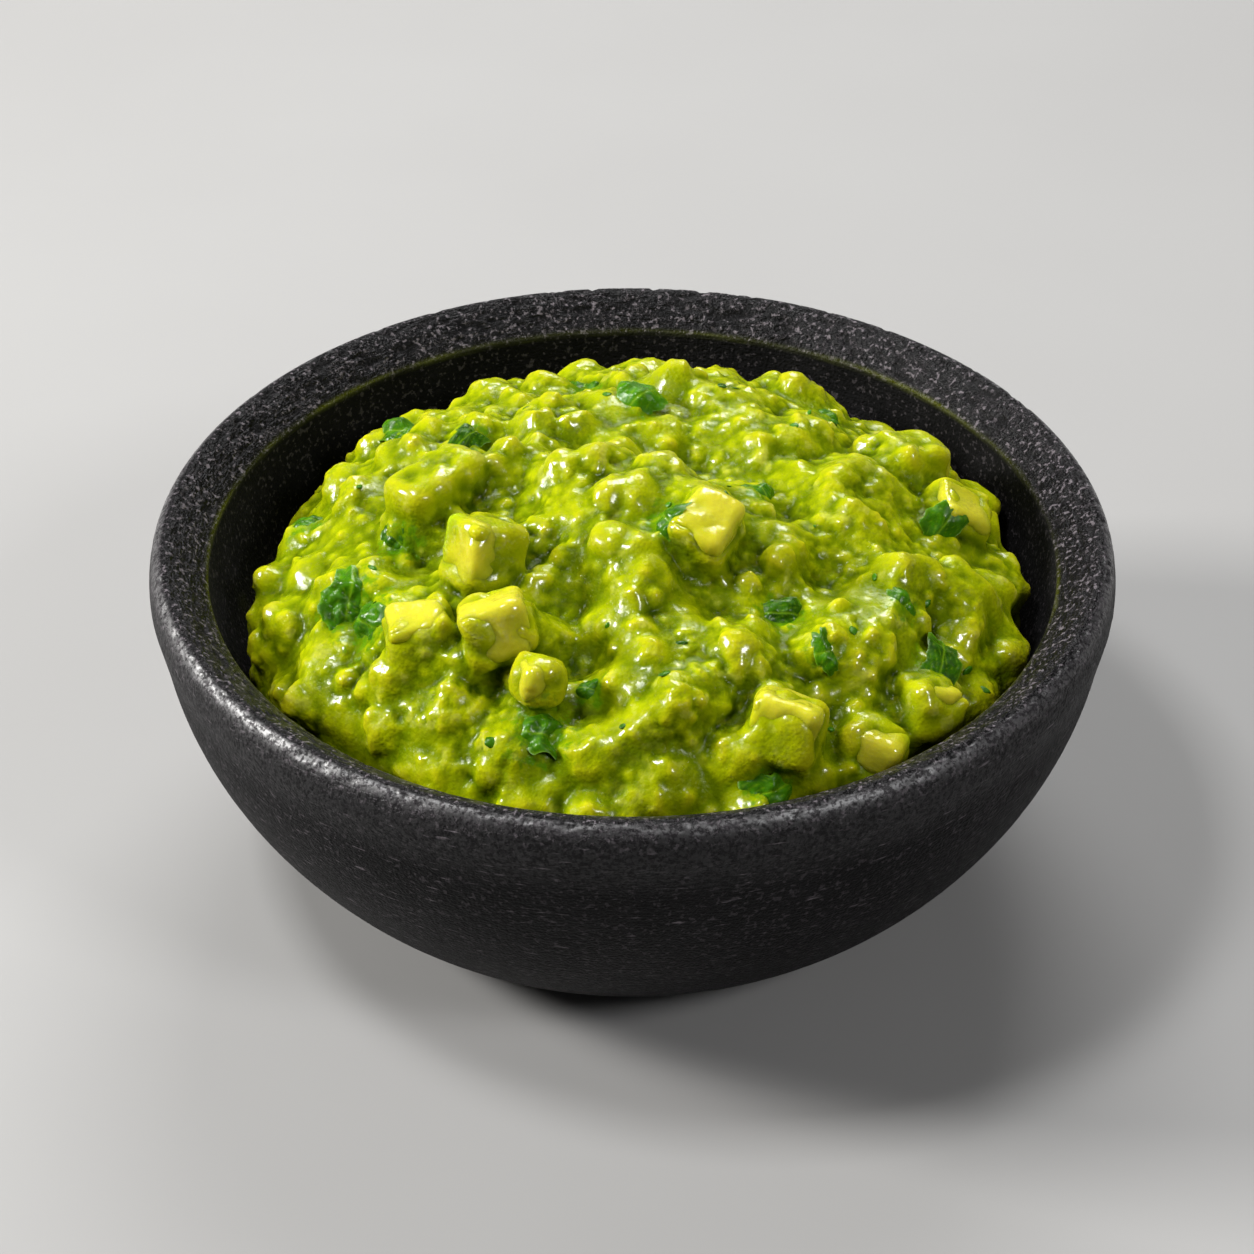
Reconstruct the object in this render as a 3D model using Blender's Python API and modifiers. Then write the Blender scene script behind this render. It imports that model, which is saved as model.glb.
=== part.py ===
"""Guacamole heaped in a thick round stone bowl, with soft avocado dice sunk in the mash.

The row frame has its origin at the middle of the bowl's foot, with +Z up. All sizes are in metres.
The bowl is one turned solid. The mash is one solid from the bowl's floor to its lumpy top, with a
pocket for each avocado dice.
"""

import math
import random
from dataclasses import dataclass

import bmesh
import bpy
from mathutils import Euler, Vector

MM = 0.001

# Bowl
BOWL_HEIGHT = 58 * MM
BOWL_RADIUS = 75 * MM
RIM_DEPTH = 6.3 * MM  # from the rim's widest place up to its crest
RIM_SHOULDER = 3.0 * MM  # from the rim's widest place in to its crest
RIM_SQUARENESS = 2.3  # 2 is a plain oval shoulder, more is flatter on top
RIM_SLOPE = 6.1 * MM  # from the crest in to the rim's inner edge
RIM_FALL = 4.7 * MM  # from the crest down to the inner edge
RIM_BOW = 1.25  # 1 is a straight slope, more is rounder
RIM_POINTS = 5
NECK_INSET = 1.3 * MM  # how far the wall is set back under the rim
NECK_DROP = 6.7 * MM  # from the rim's widest place down to the neck
LIP_INSET = 0.6 * MM
LIP_DROP = 4.0 * MM  # from the rim's inner edge down to the start of the inner wall
WALL_POINTS = 8
FOOT_RADIUS = 38 * MM
FOOT_ROUNDING_WIDTH = 9 * MM
FOOT_ROUNDING_HEIGHT = 2.4 * MM
FLOOR_THICKNESS = 9 * MM
FLOOR_RADIUS = 26 * MM
# The walls are cubic curves. These are their handles, as radius and height.
INNER_WALL_HANDLES = ((63.5 * MM, 31 * MM), (50 * MM, 12 * MM))
OUTER_WALL_HANDLES = ((71.5 * MM, 27 * MM), (59.5 * MM, 11.5 * MM))
BOWL_STEPS = 64

# Mash
HEAP_RADIUS = 61.4 * MM
HEAP_HEM = 42 * MM  # height above the foot at which the heap's side starts to close in
HEAP_RISE = 25 * MM
HEAP_SHIFT = Vector((1.3 * MM, 0.8 * MM, 0))
HEAP_CELLS = 84
HEAP_KEEP = 0.225  # the share of the fine mesh that is kept, most of it where the heap is bumpiest
WALL_RING_HEIGHTS = (33 * MM, 23 * MM, 15 * MM)  # the highest is where the mash meets the wall
CLEARANCE = 0.3 * MM
FACET_ALLOWANCE = 0.15 * MM  # keeps two faceted round walls from meeting between their corners
LUMP_COUNT = 180
HEM_SPREAD = 0.2  # lumps at the hem are laid out wider by this share, as the side is steep
LUMP_SEED = 11
LUMP_REACH = (4.3, 7.0)  # in millimetres
LUMP_HEIGHT = (1.4, 3.4)  # in millimetres
LUMP_SINK = 1.9  # how far, in millimetres, the lumps stand below the oval heap

STONE = ("black stone", (0.018, 0.017, 0.019), 0.55)
MASH = ("avocado mash", (0.34, 0.40, 0.012), 0.28)
FLESH = ("avocado flesh", (0.56, 0.55, 0.06), 0.30)


@dataclass(frozen=True)
class Swell:
    """A raised or, with a negative height, a sunken place on the heap. All in millimetres."""

    x: float
    y: float
    reach: float
    height: float


@dataclass(frozen=True)
class Dice:
    """One cut cube of avocado: its middle, its three sizes and how it is turned, in degrees."""

    name: str
    middle: tuple
    size: tuple
    turn: tuple


# The heap's main forms, in millimetres.
SWELLS = (
    # the tall lump in the middle, its crest and the ridge down its front
    Swell(-2, -9, 11, 4.6),
    Swell(-13, -3, 5, 3.4),
    Swell(-6, 2, 5, 3.0),
    Swell(4, -1, 6, 2.6),
    Swell(12, -7, 5, 1.8),
    Swell(0, -22, 6, 3.4),
    Swell(-3, -31, 5, 2.4),
    # the hollow between the lump and the dice on its left
    Swell(-14, -16, 3.5, -4.0),
    Swell(-12, -27, 4.5, -4.6),
    Swell(-9, -38, 4.5, -5.0),
    # the smooth hollow behind the lump, and the hill with its peak beyond it
    Swell(8, 10, 8, -4.4),
    Swell(-9, 10, 5, -3.4),
    Swell(18, 6, 6, -2.6),
    Swell(6, 33, 5, 5.0),
    Swell(-8, 28, 6, 2.6),
    Swell(17, 27, 6, 2.2),
    Swell(19, 13, 4, 3.0),
    Swell(29, 37, 6, 2.8),
    # the shoulders at the left
    Swell(-16, 14, 5, 2.8),
    Swell(-22, 4, 5, 3.2),
    Swell(-33, -6, 5, 2.6),
    Swell(-26, 22, 5, 3.4),
    Swell(-37, 14, 6, 2.8),
    Swell(-24, 13, 4, -2.6),
    Swell(-46, -14, 6, 2.4),
    Swell(-36, -14, 4, -3.0),
    Swell(-47, 2, 6, 2.6),
    Swell(-25, 41, 6, 1.6),
    Swell(-70, -8, 9, 1.6),
    Swell(-56, -36, 8, 2.4),
    # the ridges and hollows at the right
    Swell(29, 0, 5, 4.6),
    Swell(35, -6, 5, 3.4),
    Swell(36, 8, 5, 3.2),
    Swell(23, -2, 3.5, -5.0),
    Swell(29, -18, 4.5, -5.0),
    Swell(39, -16, 4, 3.4),
    Swell(46, -15, 4.5, 3.0),
    Swell(37, -26, 4.5, 3.0),
    Swell(54, -14, 4, 2.6),
    Swell(53, -26, 4, 2.4),
    Swell(48, -23, 3.5, -3.0),
    Swell(43, 2, 4, -2.6),
    Swell(47, 27, 5, 1.6),
    Swell(62, 20, 7, 2.4),
    Swell(69, -24, 8, 3.0),
    # the front
    Swell(4, -49, 6, 3.6),
    Swell(13, -39, 6, 2.6),
    Swell(29, -34, 5, 3.2),
    Swell(35, -33, 4, 2.4),
    Swell(-8, -46, 3.5, -4.4),
    Swell(-20, -51, 6, 2.2),
    Swell(-36, -39, 6, 3.0),
    Swell(30, -46, 4, -4.0),
    Swell(13, -28, 5, -3.0),
    Swell(23, -27, 4, -2.0),
)

# The avocado dice, in millimetres and degrees.
DICE = (
    Dice("avocado_dice_1", (-22.1, -18.9, 65.6), (9.6, 9.0, 9.8), (-15, 22, 31)),
    Dice("avocado_dice_2", (-19.7, -33.7, 62.7), (9.5, 9.0, 9.0), (-16, -17, 6)),
    Dice("avocado_dice_3", (-31.0, -31.0, 58.7), (8.8, 8.4, 9.6), (-1, -12, 8)),
    Dice("avocado_dice_4", (10.9, -15.3, 67.0), (10.2, 9.0, 9.5), (14, -13, 59)),
    Dice("avocado_dice_5", (22.0, -47.5, 54.8), (9.6, 9.5, 9.6), (-25, 6, -19)),
    Dice("avocado_dice_6", (34.9, -45.2, 48.4), (8.4, 7.0, 8.0), (-12, 10, -24)),
    Dice("avocado_dice_7", (-30.0, -0.5, 64.0), (14.0, 8.5, 8.5), (-8, -6, 44)),
    Dice("avocado_dice_8", (-13.5, -43.0, 59.8), (6.2, 6.0, 6.0), (-10, 18, 20)),
    Dice("avocado_dice_9", (43.5, -37.0, 50.3), (8.0, 7.5, 8.0), (-14, 16, 24)),
    Dice("avocado_dice_10", (44.6, 17.0, 57.0), (9.5, 9.5, 9.5), (-8, 14, 28)),
    Dice("avocado_dice_11", (50.5, 6.0, 54.5), (9.0, 9.0, 9.0), (10, 30, 10)),
)
DICE_ROUNDING = 1.3 * MM
DICE_TAPER = 0.09  # how much smaller the far end of a dice is cut


def clear_scene():
    """Remove every object of the scene."""
    for obj in list(bpy.data.objects):
        bpy.data.objects.remove(obj, do_unlink=True)


def new_collection(name):
    """A collection linked to the scene."""
    collection = bpy.data.collections.new(name)
    bpy.context.scene.collection.children.link(collection)
    return collection


def new_material(look):
    """A Principled material from a name, a base colour and a roughness."""
    name, colour, roughness = look
    material = bpy.data.materials.new(name)
    material.use_nodes = True
    shader = material.node_tree.nodes["Principled BSDF"]
    shader.inputs["Base Color"].default_value = (*colour, 1)
    shader.inputs["Roughness"].default_value = roughness
    shader.inputs["Metallic"].default_value = 0.0
    return material


def bezier(start, handle_a, handle_b, end, count):
    """Points along one cubic curve, both ends included."""
    corners = [Vector(p) for p in (start, handle_a, handle_b, end)]
    points = []
    for i in range(count):
        t = i / (count - 1)
        weights = ((1 - t) ** 3, 3 * t * (1 - t) ** 2, 3 * t * t * (1 - t), t**3)
        points.append(sum((w * p for w, p in zip(weights, corners)), Vector((0, 0))))
    return points


def rim_section():
    """Points from the rim's widest place over its round shoulder to the crest, then in to its inner edge."""
    crest = Vector((BOWL_RADIUS - RIM_SHOULDER, BOWL_HEIGHT))
    points = []
    for i in range(RIM_POINTS):
        turn = math.pi / 2 * i / (RIM_POINTS - 1)
        across = math.cos(turn) ** (2 / RIM_SQUARENESS) if i < RIM_POINTS - 1 else 0
        up = math.sin(turn) ** (2 / RIM_SQUARENESS)
        points.append(crest + Vector((across * RIM_SHOULDER, (up - 1) * RIM_DEPTH)))
    for i in range(1, RIM_POINTS):
        share = i / (RIM_POINTS - 1)
        points.append(crest - Vector((share * RIM_SLOPE, share**RIM_BOW * RIM_FALL)))
    return points


def inner_wall():
    """Points down the inside of the bowl, from under the rim to the flat floor."""
    edge = Vector((BOWL_RADIUS - RIM_SHOULDER - RIM_SLOPE, BOWL_HEIGHT - RIM_FALL))
    start = edge - Vector((LIP_INSET, LIP_DROP))
    return bezier(start, *INNER_WALL_HANDLES, (FLOOR_RADIUS, FLOOR_THICKNESS), WALL_POINTS)


def outer_wall():
    """Points down the outside of the bowl, from the neck under the rim to the foot."""
    neck = (BOWL_RADIUS - NECK_INSET, BOWL_HEIGHT - RIM_DEPTH - NECK_DROP)
    foot = (FOOT_RADIUS + FOOT_ROUNDING_WIDTH, FOOT_ROUNDING_HEIGHT)
    return bezier(neck, *OUTER_WALL_HANDLES, foot, WALL_POINTS)


def bowl_outline():
    """The bowl's half section, from the middle of the floor over the rim to the middle of the foot."""
    inside = [Vector((0, FLOOR_THICKNESS)), *reversed(inner_wall())]
    fillet = Vector((FOOT_RADIUS + FOOT_ROUNDING_WIDTH / 3, FOOT_ROUNDING_HEIGHT / 5))
    return [*inside, *reversed(rim_section()), *outer_wall(), fillet, Vector((FOOT_RADIUS, 0)), Vector((0, 0))]


def turned(name, outline, steps, collection):
    """A body of revolution about Z with a Screw modifier."""
    mesh = bpy.data.meshes.new(name)
    edges = [(i, i + 1) for i in range(len(outline) - 1)]
    mesh.from_pydata([(p.x, 0, p.y) for p in outline], edges, [])
    obj = bpy.data.objects.new(name, mesh)
    collection.objects.link(obj)
    screw = obj.modifiers.new("turn", "SCREW")
    screw.axis = "Z"
    screw.steps = steps
    screw.render_steps = steps
    screw.use_merge_vertices = True
    screw.merge_threshold = 0.00001
    screw.use_smooth_shade = True
    return obj


def wall_radius_at(height):
    """The bowl's inner radius at a height above its foot."""
    wall = inner_wall()
    for upper, lower in zip(wall, wall[1:]):
        if lower.y <= height <= upper.y:
            share = (height - lower.y) / (upper.y - lower.y)
            return lower.x + share * (upper.x - lower.x)
    return wall[0].x if height > wall[0].y else FLOOR_RADIUS


def scattered_lumps():
    """Lumps the size of a hazelnut spread evenly over the heap, on top of the named swells."""
    draw = random.Random(LUMP_SEED)
    golden = math.pi * (3 - math.sqrt(5))
    lumps = []
    for i in range(LUMP_COUNT):
        far = (1 + HEM_SPREAD) * HEAP_RADIUS / MM * math.sqrt((i + 0.5) / LUMP_COUNT)
        turn = i * golden + draw.uniform(-0.3, 0.3)
        reach = draw.uniform(*LUMP_REACH)
        lumps.append(Swell(far * math.cos(turn), far * math.sin(turn), reach, draw.uniform(*LUMP_HEIGHT)))
    return lumps


def relief(x, y, lumps):
    """How far the heap stands out at a place, in millimetres: broad swells, with rounded lumps on them."""
    broad = sum(s.height * math.exp(-((x - s.x) ** 2 + (y - s.y) ** 2) / s.reach**2) for s in SWELLS)
    caps = (s.height * (1 - ((x - s.x) ** 2 + (y - s.y) ** 2) / s.reach**2) for s in lumps)
    return broad + max(max(caps), -0.4) - LUMP_SINK


def dome_turn(share):
    """The angle on the heap's oval section at a share of the way from its top to its hem."""
    steps = 90
    lengths = [0.0]
    for i in range(steps):
        turn = math.pi / 2 * (i + 0.5) / steps
        lengths.append(lengths[-1] + math.hypot(HEAP_RADIUS * math.cos(turn), HEAP_RISE * math.sin(turn)))
    wanted = share * lengths[-1]
    below = max(i for i, length in enumerate(lengths) if length <= wanted)
    if below == steps:
        return math.pi / 2
    part = (wanted - lengths[below]) / (lengths[below + 1] - lengths[below])
    return math.pi / 2 * (below + part) / steps


def lift_to_heap(corner, lumps):
    """Move a corner of the flat unit disc onto the heap."""
    turn = dome_turn(min(1.0, corner.co.to_2d().length))
    around = math.atan2(corner.co.y, corner.co.x)
    reach = HEAP_RADIUS * math.sin(turn)
    place = Vector((reach * math.cos(around), reach * math.sin(around), HEAP_HEM + HEAP_RISE * math.cos(turn)))
    slope = Vector((place.x / HEAP_RADIUS**2, place.y / HEAP_RADIUS**2, math.cos(turn) / HEAP_RISE)).normalized()
    spread = 1 + HEM_SPREAD * (1 - math.cos(turn)) ** 2
    height = relief(place.x / MM * spread, place.y / MM * spread, lumps) * MM
    corner.co = keep_inside(place + HEAP_SHIFT + slope * height)


def keep_inside(place):
    """The place, moved inward where it would touch the bowl."""
    limit = wall_radius_at(place.z) - CLEARANCE - FACET_ALLOWANCE
    flat = place.to_2d()
    if flat.length > limit:
        flat = flat.normalized() * limit
    return Vector((flat.x, flat.y, place.z))


def make_mash(name, collection):
    """The mash: a round lumpy top, its side, and under it a body that fills the bowl to its wall."""
    shape = bmesh.new()
    bmesh.ops.create_grid(shape, x_segments=HEAP_CELLS, y_segments=HEAP_CELLS, size=1)
    for corner in shape.verts:
        x, y = corner.co.x, corner.co.y
        corner.co.x = x * math.sqrt(1 - y * y / 2)
        corner.co.y = y * math.sqrt(1 - x * x / 2)
    lumps = scattered_lumps()
    for corner in shape.verts:
        lift_to_heap(corner, lumps)

    for height in (*WALL_RING_HEIGHTS, FLOOR_THICKNESS + CLEARANCE + FACET_ALLOWANCE):
        hem = [edge for edge in shape.edges if edge.is_boundary]
        added = bmesh.ops.extrude_edge_only(shape, edges=hem)["geom"]
        reach = wall_radius_at(height) - CLEARANCE - FACET_ALLOWANCE
        for corner in (item for item in added if isinstance(item, bmesh.types.BMVert)):
            around = math.atan2(corner.co.y, corner.co.x)
            corner.co = Vector((reach * math.cos(around), reach * math.sin(around), height))
    bmesh.ops.holes_fill(shape, edges=[edge for edge in shape.edges if edge.is_boundary], sides=0)
    bmesh.ops.recalc_face_normals(shape, faces=shape.faces)
    for face in shape.faces:
        face.smooth = True
    mesh = bpy.data.meshes.new(name)
    shape.to_mesh(mesh)
    shape.free()
    obj = bpy.data.objects.new(name, mesh)
    collection.objects.link(obj)
    lighter = obj.modifiers.new("fewer faces", "DECIMATE")
    lighter.ratio = HEAP_KEEP
    return obj


def make_dice(dice, name, grow, collection):
    """A soft-edged cube of avocado, tapered a little, or with grow above 0 the pocket that clears it."""
    shape = bmesh.new()
    bmesh.ops.create_cube(shape, size=1)
    for corner in shape.verts:
        for axis in range(3):
            corner.co[axis] *= dice.size[axis] * MM + 2 * grow
        if corner.co.x > 0:
            corner.co.y *= 1 - DICE_TAPER
            corner.co.z *= 1 - DICE_TAPER
    mesh = bpy.data.meshes.new(name)
    shape.to_mesh(mesh)
    shape.free()
    obj = bpy.data.objects.new(name, mesh)
    obj.location = Vector(dice.middle) * MM
    obj.rotation_euler = Euler([math.radians(a) for a in dice.turn])
    collection.objects.link(obj)
    bevel = obj.modifiers.new("soft edges", "BEVEL")
    bevel.width = DICE_ROUNDING + grow
    bevel.segments = 2
    return obj


def main():
    """Build the bowl, the mash and the dice."""
    clear_scene()
    parts = new_collection("guacamole bowl")
    cutters = new_collection("pockets")

    bowl = turned("bowl", bowl_outline(), BOWL_STEPS, parts)
    bowl.data.materials.append(new_material(STONE))

    mash = make_mash("guacamole", parts)
    mash.data.materials.append(new_material(MASH))

    flesh = new_material(FLESH)
    for dice in DICE:
        piece = make_dice(dice, dice.name, 0.0, parts)
        piece.data.materials.append(flesh)
        pocket = make_dice(dice, "pocket_" + dice.name, CLEARANCE, cutters)
        pocket.hide_render = True
        pocket.display_type = "WIRE"
        cut = mash.modifiers.new("pocket for " + dice.name, "BOOLEAN")
        cut.operation = "DIFFERENCE"
        cut.object = pocket


main()
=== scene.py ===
"""Guacamole in a dark stone bowl: fine shapes, finishes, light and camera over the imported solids.

Lengths are in metres, and in the table of herb pieces in millimetres. They are in the frame of the
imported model: the origin is the middle of the bowl's foot and +Z points up.
"""

import itertools
import logging
import math
import random
from dataclasses import dataclass, field
from enum import Enum

import bmesh
import bpy
import numpy as np
from mathutils import Euler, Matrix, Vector
from mathutils.bvhtree import BVHTree


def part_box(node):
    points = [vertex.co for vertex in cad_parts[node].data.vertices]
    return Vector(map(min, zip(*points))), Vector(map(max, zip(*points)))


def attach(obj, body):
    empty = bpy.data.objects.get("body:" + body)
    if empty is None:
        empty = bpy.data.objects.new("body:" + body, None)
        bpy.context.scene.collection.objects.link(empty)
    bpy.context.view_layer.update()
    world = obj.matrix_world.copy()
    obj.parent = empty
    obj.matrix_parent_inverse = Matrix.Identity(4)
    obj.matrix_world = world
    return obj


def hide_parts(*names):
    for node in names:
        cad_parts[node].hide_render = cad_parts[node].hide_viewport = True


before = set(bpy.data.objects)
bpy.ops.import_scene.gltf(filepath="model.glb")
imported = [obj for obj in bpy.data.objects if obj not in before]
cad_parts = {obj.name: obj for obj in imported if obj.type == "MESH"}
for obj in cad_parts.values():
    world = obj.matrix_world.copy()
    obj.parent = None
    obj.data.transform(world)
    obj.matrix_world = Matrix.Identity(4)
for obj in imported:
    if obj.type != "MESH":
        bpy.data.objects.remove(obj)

MM = 0.001
BODY = "root"
log = logging.getLogger("guacamole")

Colour = tuple[float, float, float]
Arrays = tuple[np.ndarray, np.ndarray]
Socket = bpy.types.NodeSocket


class Slot(Enum):
    """The record's material slots."""

    STONE = "dark_stone"
    MASH = "avocado_mash"
    FLESH = "avocado_flesh"
    HERB = "green_herb"


# ---------------------------------------------------------------------------
# Number fields


def cell_numbers(cells: np.ndarray, salt: int) -> np.ndarray:
    """Give every cell of a cubic lattice its own fixed random number.

    Args:
        cells: Whole-number cell places, shape (n, 3).
        salt: Picks one of many unrelated sets of numbers.

    Returns:
        One number from 0 to 1 for each cell.
    """
    mixed = cells[:, 0] * 73856093 ^ cells[:, 1] * 19349663
    mixed = mixed ^ cells[:, 2] * 83492791 ^ salt * 40503
    mixed = (mixed ^ (mixed >> 13)) * 1274126177
    mixed = mixed ^ (mixed >> 16)
    return (mixed & 0xFFFFFF) / float(0x1000000)


def soft_noise(points: np.ndarray, size: float, salt: int = 0) -> np.ndarray:
    """Smooth noise.

    Args:
        points: Places, shape (n, 3).
        size: The width of its swells.
        salt: Picks the pattern.

    Returns:
        Values from -1 to 1.
    """
    scaled = points / size
    base = np.floor(scaled).astype(np.int64)
    part = scaled - base
    part = part * part * (3 - 2 * part)
    total = np.zeros(len(points))
    for corner in itertools.product((0, 1), repeat=3):
        weight = np.prod(np.where(corner, part, 1 - part), axis=1)
        total += weight * cell_numbers(base + corner, salt)
    return 2 * total - 1


def layered_noise(points: np.ndarray, size: float, layers: int, salt: int = 0) -> np.ndarray:
    """Several layers of smooth noise, each half as wide and half as high as the last.

    Args:
        points: Places, shape (n, 3).
        size: The width of the widest layer's swells.
        layers: How many layers.
        salt: Picks the pattern.

    Returns:
        Values around 0, within about -1.5 to 1.5.
    """
    total = np.zeros(len(points))
    for layer in range(layers):
        turned = points @ np.array(Euler((0.6 * layer, 0.9 * layer, 0.4 * layer)).to_matrix())
        total += soft_noise(turned, size / 2**layer, salt + 17 * layer) / 2**layer
    return total


def cell_distance(points: np.ndarray, size: float, salt: int = 0) -> tuple[np.ndarray, np.ndarray]:
    """Distance to the nearest of many scattered spots.

    Args:
        points: Places, shape (n, 3).
        size: The mean spacing of the spots.
        salt: Picks the pattern.

    Returns:
        The distance as a share of size, and the nearest spot's own random number.
    """
    scaled = points / size
    base = np.floor(scaled).astype(np.int64)
    nearest = np.full(len(points), 9.0)
    own = np.zeros(len(points))
    for step in itertools.product((-1, 0, 1), repeat=3):
        cells = base + step
        spots = cells + np.stack([cell_numbers(cells, salt + axis) for axis in (1, 2, 3)], axis=1)
        gaps = np.linalg.norm(scaled - spots, axis=1)
        closer = gaps < nearest
        nearest[closer] = gaps[closer]
        own[closer] = cell_numbers(cells, salt + 4)[closer]
    return nearest, own


def smooth_step(values: np.ndarray, low: float, high: float) -> np.ndarray:
    """Ease values from 0 at low to 1 at high."""
    share = np.clip((values - low) / (high - low), 0, 1)
    return share * share * (3 - 2 * share)


# ---------------------------------------------------------------------------
# Meshes


def mesh_from_arrays(name: str, points: np.ndarray, faces: np.ndarray) -> bpy.types.Mesh:
    """Make a mesh of faces that all have the same number of corners.

    Args:
        name: The mesh's name.
        points: Vertices, shape (n, 3).
        faces: Corner numbers, shape (m, corners).

    Returns:
        The mesh, shaded smooth.
    """
    mesh = bpy.data.meshes.new(name)
    corners = faces.shape[1]
    mesh.vertices.add(len(points))
    mesh.vertices.foreach_set("co", points.astype(np.float32).ravel())
    mesh.loops.add(faces.size)
    mesh.loops.foreach_set("vertex_index", faces.astype(np.int32).ravel())
    mesh.polygons.add(len(faces))
    mesh.polygons.foreach_set("loop_start", np.arange(0, faces.size, corners, dtype=np.int32))
    mesh.polygons.foreach_set("use_smooth", np.ones(len(faces), dtype=bool))
    mesh.update(calc_edges=True)
    mesh.validate()
    return mesh


def numbers_of(items: bpy.types.bpy_prop_collection, key: str, columns: int, kind: type) -> np.ndarray:
    """One property of all items of a mesh, as an array with this many columns."""
    values = np.empty(len(items) * columns, dtype=kind)
    items.foreach_get(key, values)
    return values.reshape(-1, columns)


def points_of(mesh: bpy.types.Mesh) -> np.ndarray:
    """The mesh's vertices as an array of shape (n, 3)."""
    return numbers_of(mesh.vertices, "co", 3, np.float32).astype(float)


def set_points(mesh: bpy.types.Mesh, points: np.ndarray) -> None:
    """Move the mesh's vertices to these points."""
    mesh.vertices.foreach_set("co", points.astype(np.float32).ravel())
    mesh.update()


def normals_of(mesh: bpy.types.Mesh) -> np.ndarray:
    """The mesh's vertex normals as an array of shape (n, 3)."""
    return numbers_of(mesh.vertex_normals, "vector", 3, np.float32).astype(float)


def edges_of(mesh: bpy.types.Mesh) -> np.ndarray:
    """The mesh's edges as pairs of vertex numbers, shape (n, 2)."""
    return numbers_of(mesh.edges, "vertices", 2, np.int32)


def relaxed(points: np.ndarray, edges: np.ndarray, rounds: int, share: float = 0.5) -> np.ndarray:
    """Move every point towards the mean of its neighbours.

    Args:
        points: Vertices, shape (n, 3).
        edges: Pairs of vertex numbers.
        rounds: How many times.
        share: How much of the way in one round.

    Returns:
        The moved points.
    """
    ends = np.concatenate([edges[:, 0], edges[:, 1]])
    others = np.concatenate([edges[:, 1], edges[:, 0]])
    counts = np.bincount(ends, minlength=len(points)).clip(1)[:, None]
    moved = points.copy()
    for _ in range(rounds):
        sums = np.stack([np.bincount(ends, moved[others, k], len(points)) for k in range(3)], axis=1)
        moved += share * (sums / counts - moved)
    return moved


def put_attribute(mesh: bpy.types.Mesh, name: str, values: np.ndarray) -> None:
    """Store one number for each vertex, for a finish to read."""
    layer = mesh.attributes.new(name, "FLOAT", "POINT")
    layer.data.foreach_set("value", values.astype(np.float32))


def new_piece(name: str, mesh: bpy.types.Mesh) -> bpy.types.Object:
    """An object in the scene for the mesh."""
    obj = bpy.data.objects.new(name, mesh)
    bpy.context.scene.collection.objects.link(obj)
    return obj


def dressed(name: str, mesh: bpy.types.Mesh, material: bpy.types.Material) -> bpy.types.Object:
    """A piece in its only material, riding on the body."""
    mesh.materials.clear()
    mesh.materials.append(material)
    piece = new_piece(name, mesh)
    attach(piece, BODY)
    return piece


def applied(mesh: bpy.types.Mesh, kind: str, **settings: object) -> bpy.types.Mesh:
    """Work out one modifier on a mesh.

    Args:
        mesh: The mesh to start from.
        kind: The modifier's type.
        **settings: Its properties.

    Returns:
        The new mesh.
    """
    obj = new_piece("working", mesh)
    modifier = obj.modifiers.new("work", kind)
    for name, value in settings.items():
        setattr(modifier, name, value)
    graph = bpy.context.evaluated_depsgraph_get()
    made = bpy.data.meshes.new_from_object(obj.evaluated_get(graph))
    bpy.data.objects.remove(obj, do_unlink=True)
    return made


def remeshed(mesh: bpy.types.Mesh, voxel: float) -> bpy.types.Mesh:
    """Melt the closed bodies of a mesh into one smooth skin with faces of this width."""
    return applied(mesh, "REMESH", mode="VOXEL", voxel_size=voxel, use_smooth_shade=True)


def thinned(mesh: bpy.types.Mesh, triangles: int) -> bpy.types.Mesh:
    """Take out the corners that matter least, until this many triangles are left."""
    before = sum(len(polygon.vertices) - 2 for polygon in mesh.polygons)
    made = applied(mesh, "DECIMATE", ratio=min(1.0, triangles / before))
    made.polygons.foreach_set("use_smooth", np.ones(len(made.polygons), dtype=bool))
    return made


def welded_node(name: str) -> bmesh.types.BMesh:
    """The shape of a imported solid, with the doubled corners of its shading joined."""
    shape = bmesh.new()
    shape.from_mesh(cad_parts[name].data)
    bmesh.ops.remove_doubles(shape, verts=shape.verts, dist=0.002 * MM)
    return shape


def mesh_of(shape: bmesh.types.BMesh, name: str) -> bpy.types.Mesh:
    """Turn a shape into a mesh of this name. The shape itself is freed."""
    mesh = bpy.data.meshes.new(name)
    shape.to_mesh(mesh)
    shape.free()
    return mesh


def arrays_of(shape: bmesh.types.BMesh) -> Arrays:
    """A shape's vertices and its faces cut into triangles. The shape itself is freed."""
    bmesh.ops.triangulate(shape, faces=shape.faces)
    shape.verts.index_update()
    points = np.array([v.co for v in shape.verts])
    faces = np.array([[v.index for v in f.verts] for f in shape.faces])
    shape.free()
    return points, faces


def triangles_of(mesh: bpy.types.Mesh) -> Arrays:
    """A mesh's vertices and its faces cut into triangles."""
    shape = bmesh.new()
    shape.from_mesh(mesh)
    return arrays_of(shape)


class Heap:
    """Collects triangles of many bodies for one mesh."""

    def __init__(self) -> None:
        """Start with nothing."""
        self.points: list[np.ndarray] = []
        self.faces: list[np.ndarray] = []
        self.count = 0

    def add(self, points: np.ndarray, faces: np.ndarray) -> None:
        """Add one body."""
        self.points.append(points)
        self.faces.append(faces + self.count)
        self.count += len(points)

    def mesh(self, name: str) -> bpy.types.Mesh:
        """All bodies as one mesh."""
        return mesh_from_arrays(name, np.concatenate(self.points), np.concatenate(self.faces))

    def tree(self) -> BVHTree:
        """All bodies as one search tree, for laying things on them."""
        return BVHTree.FromPolygons(np.concatenate(self.points).tolist(), np.concatenate(self.faces).tolist())


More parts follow.
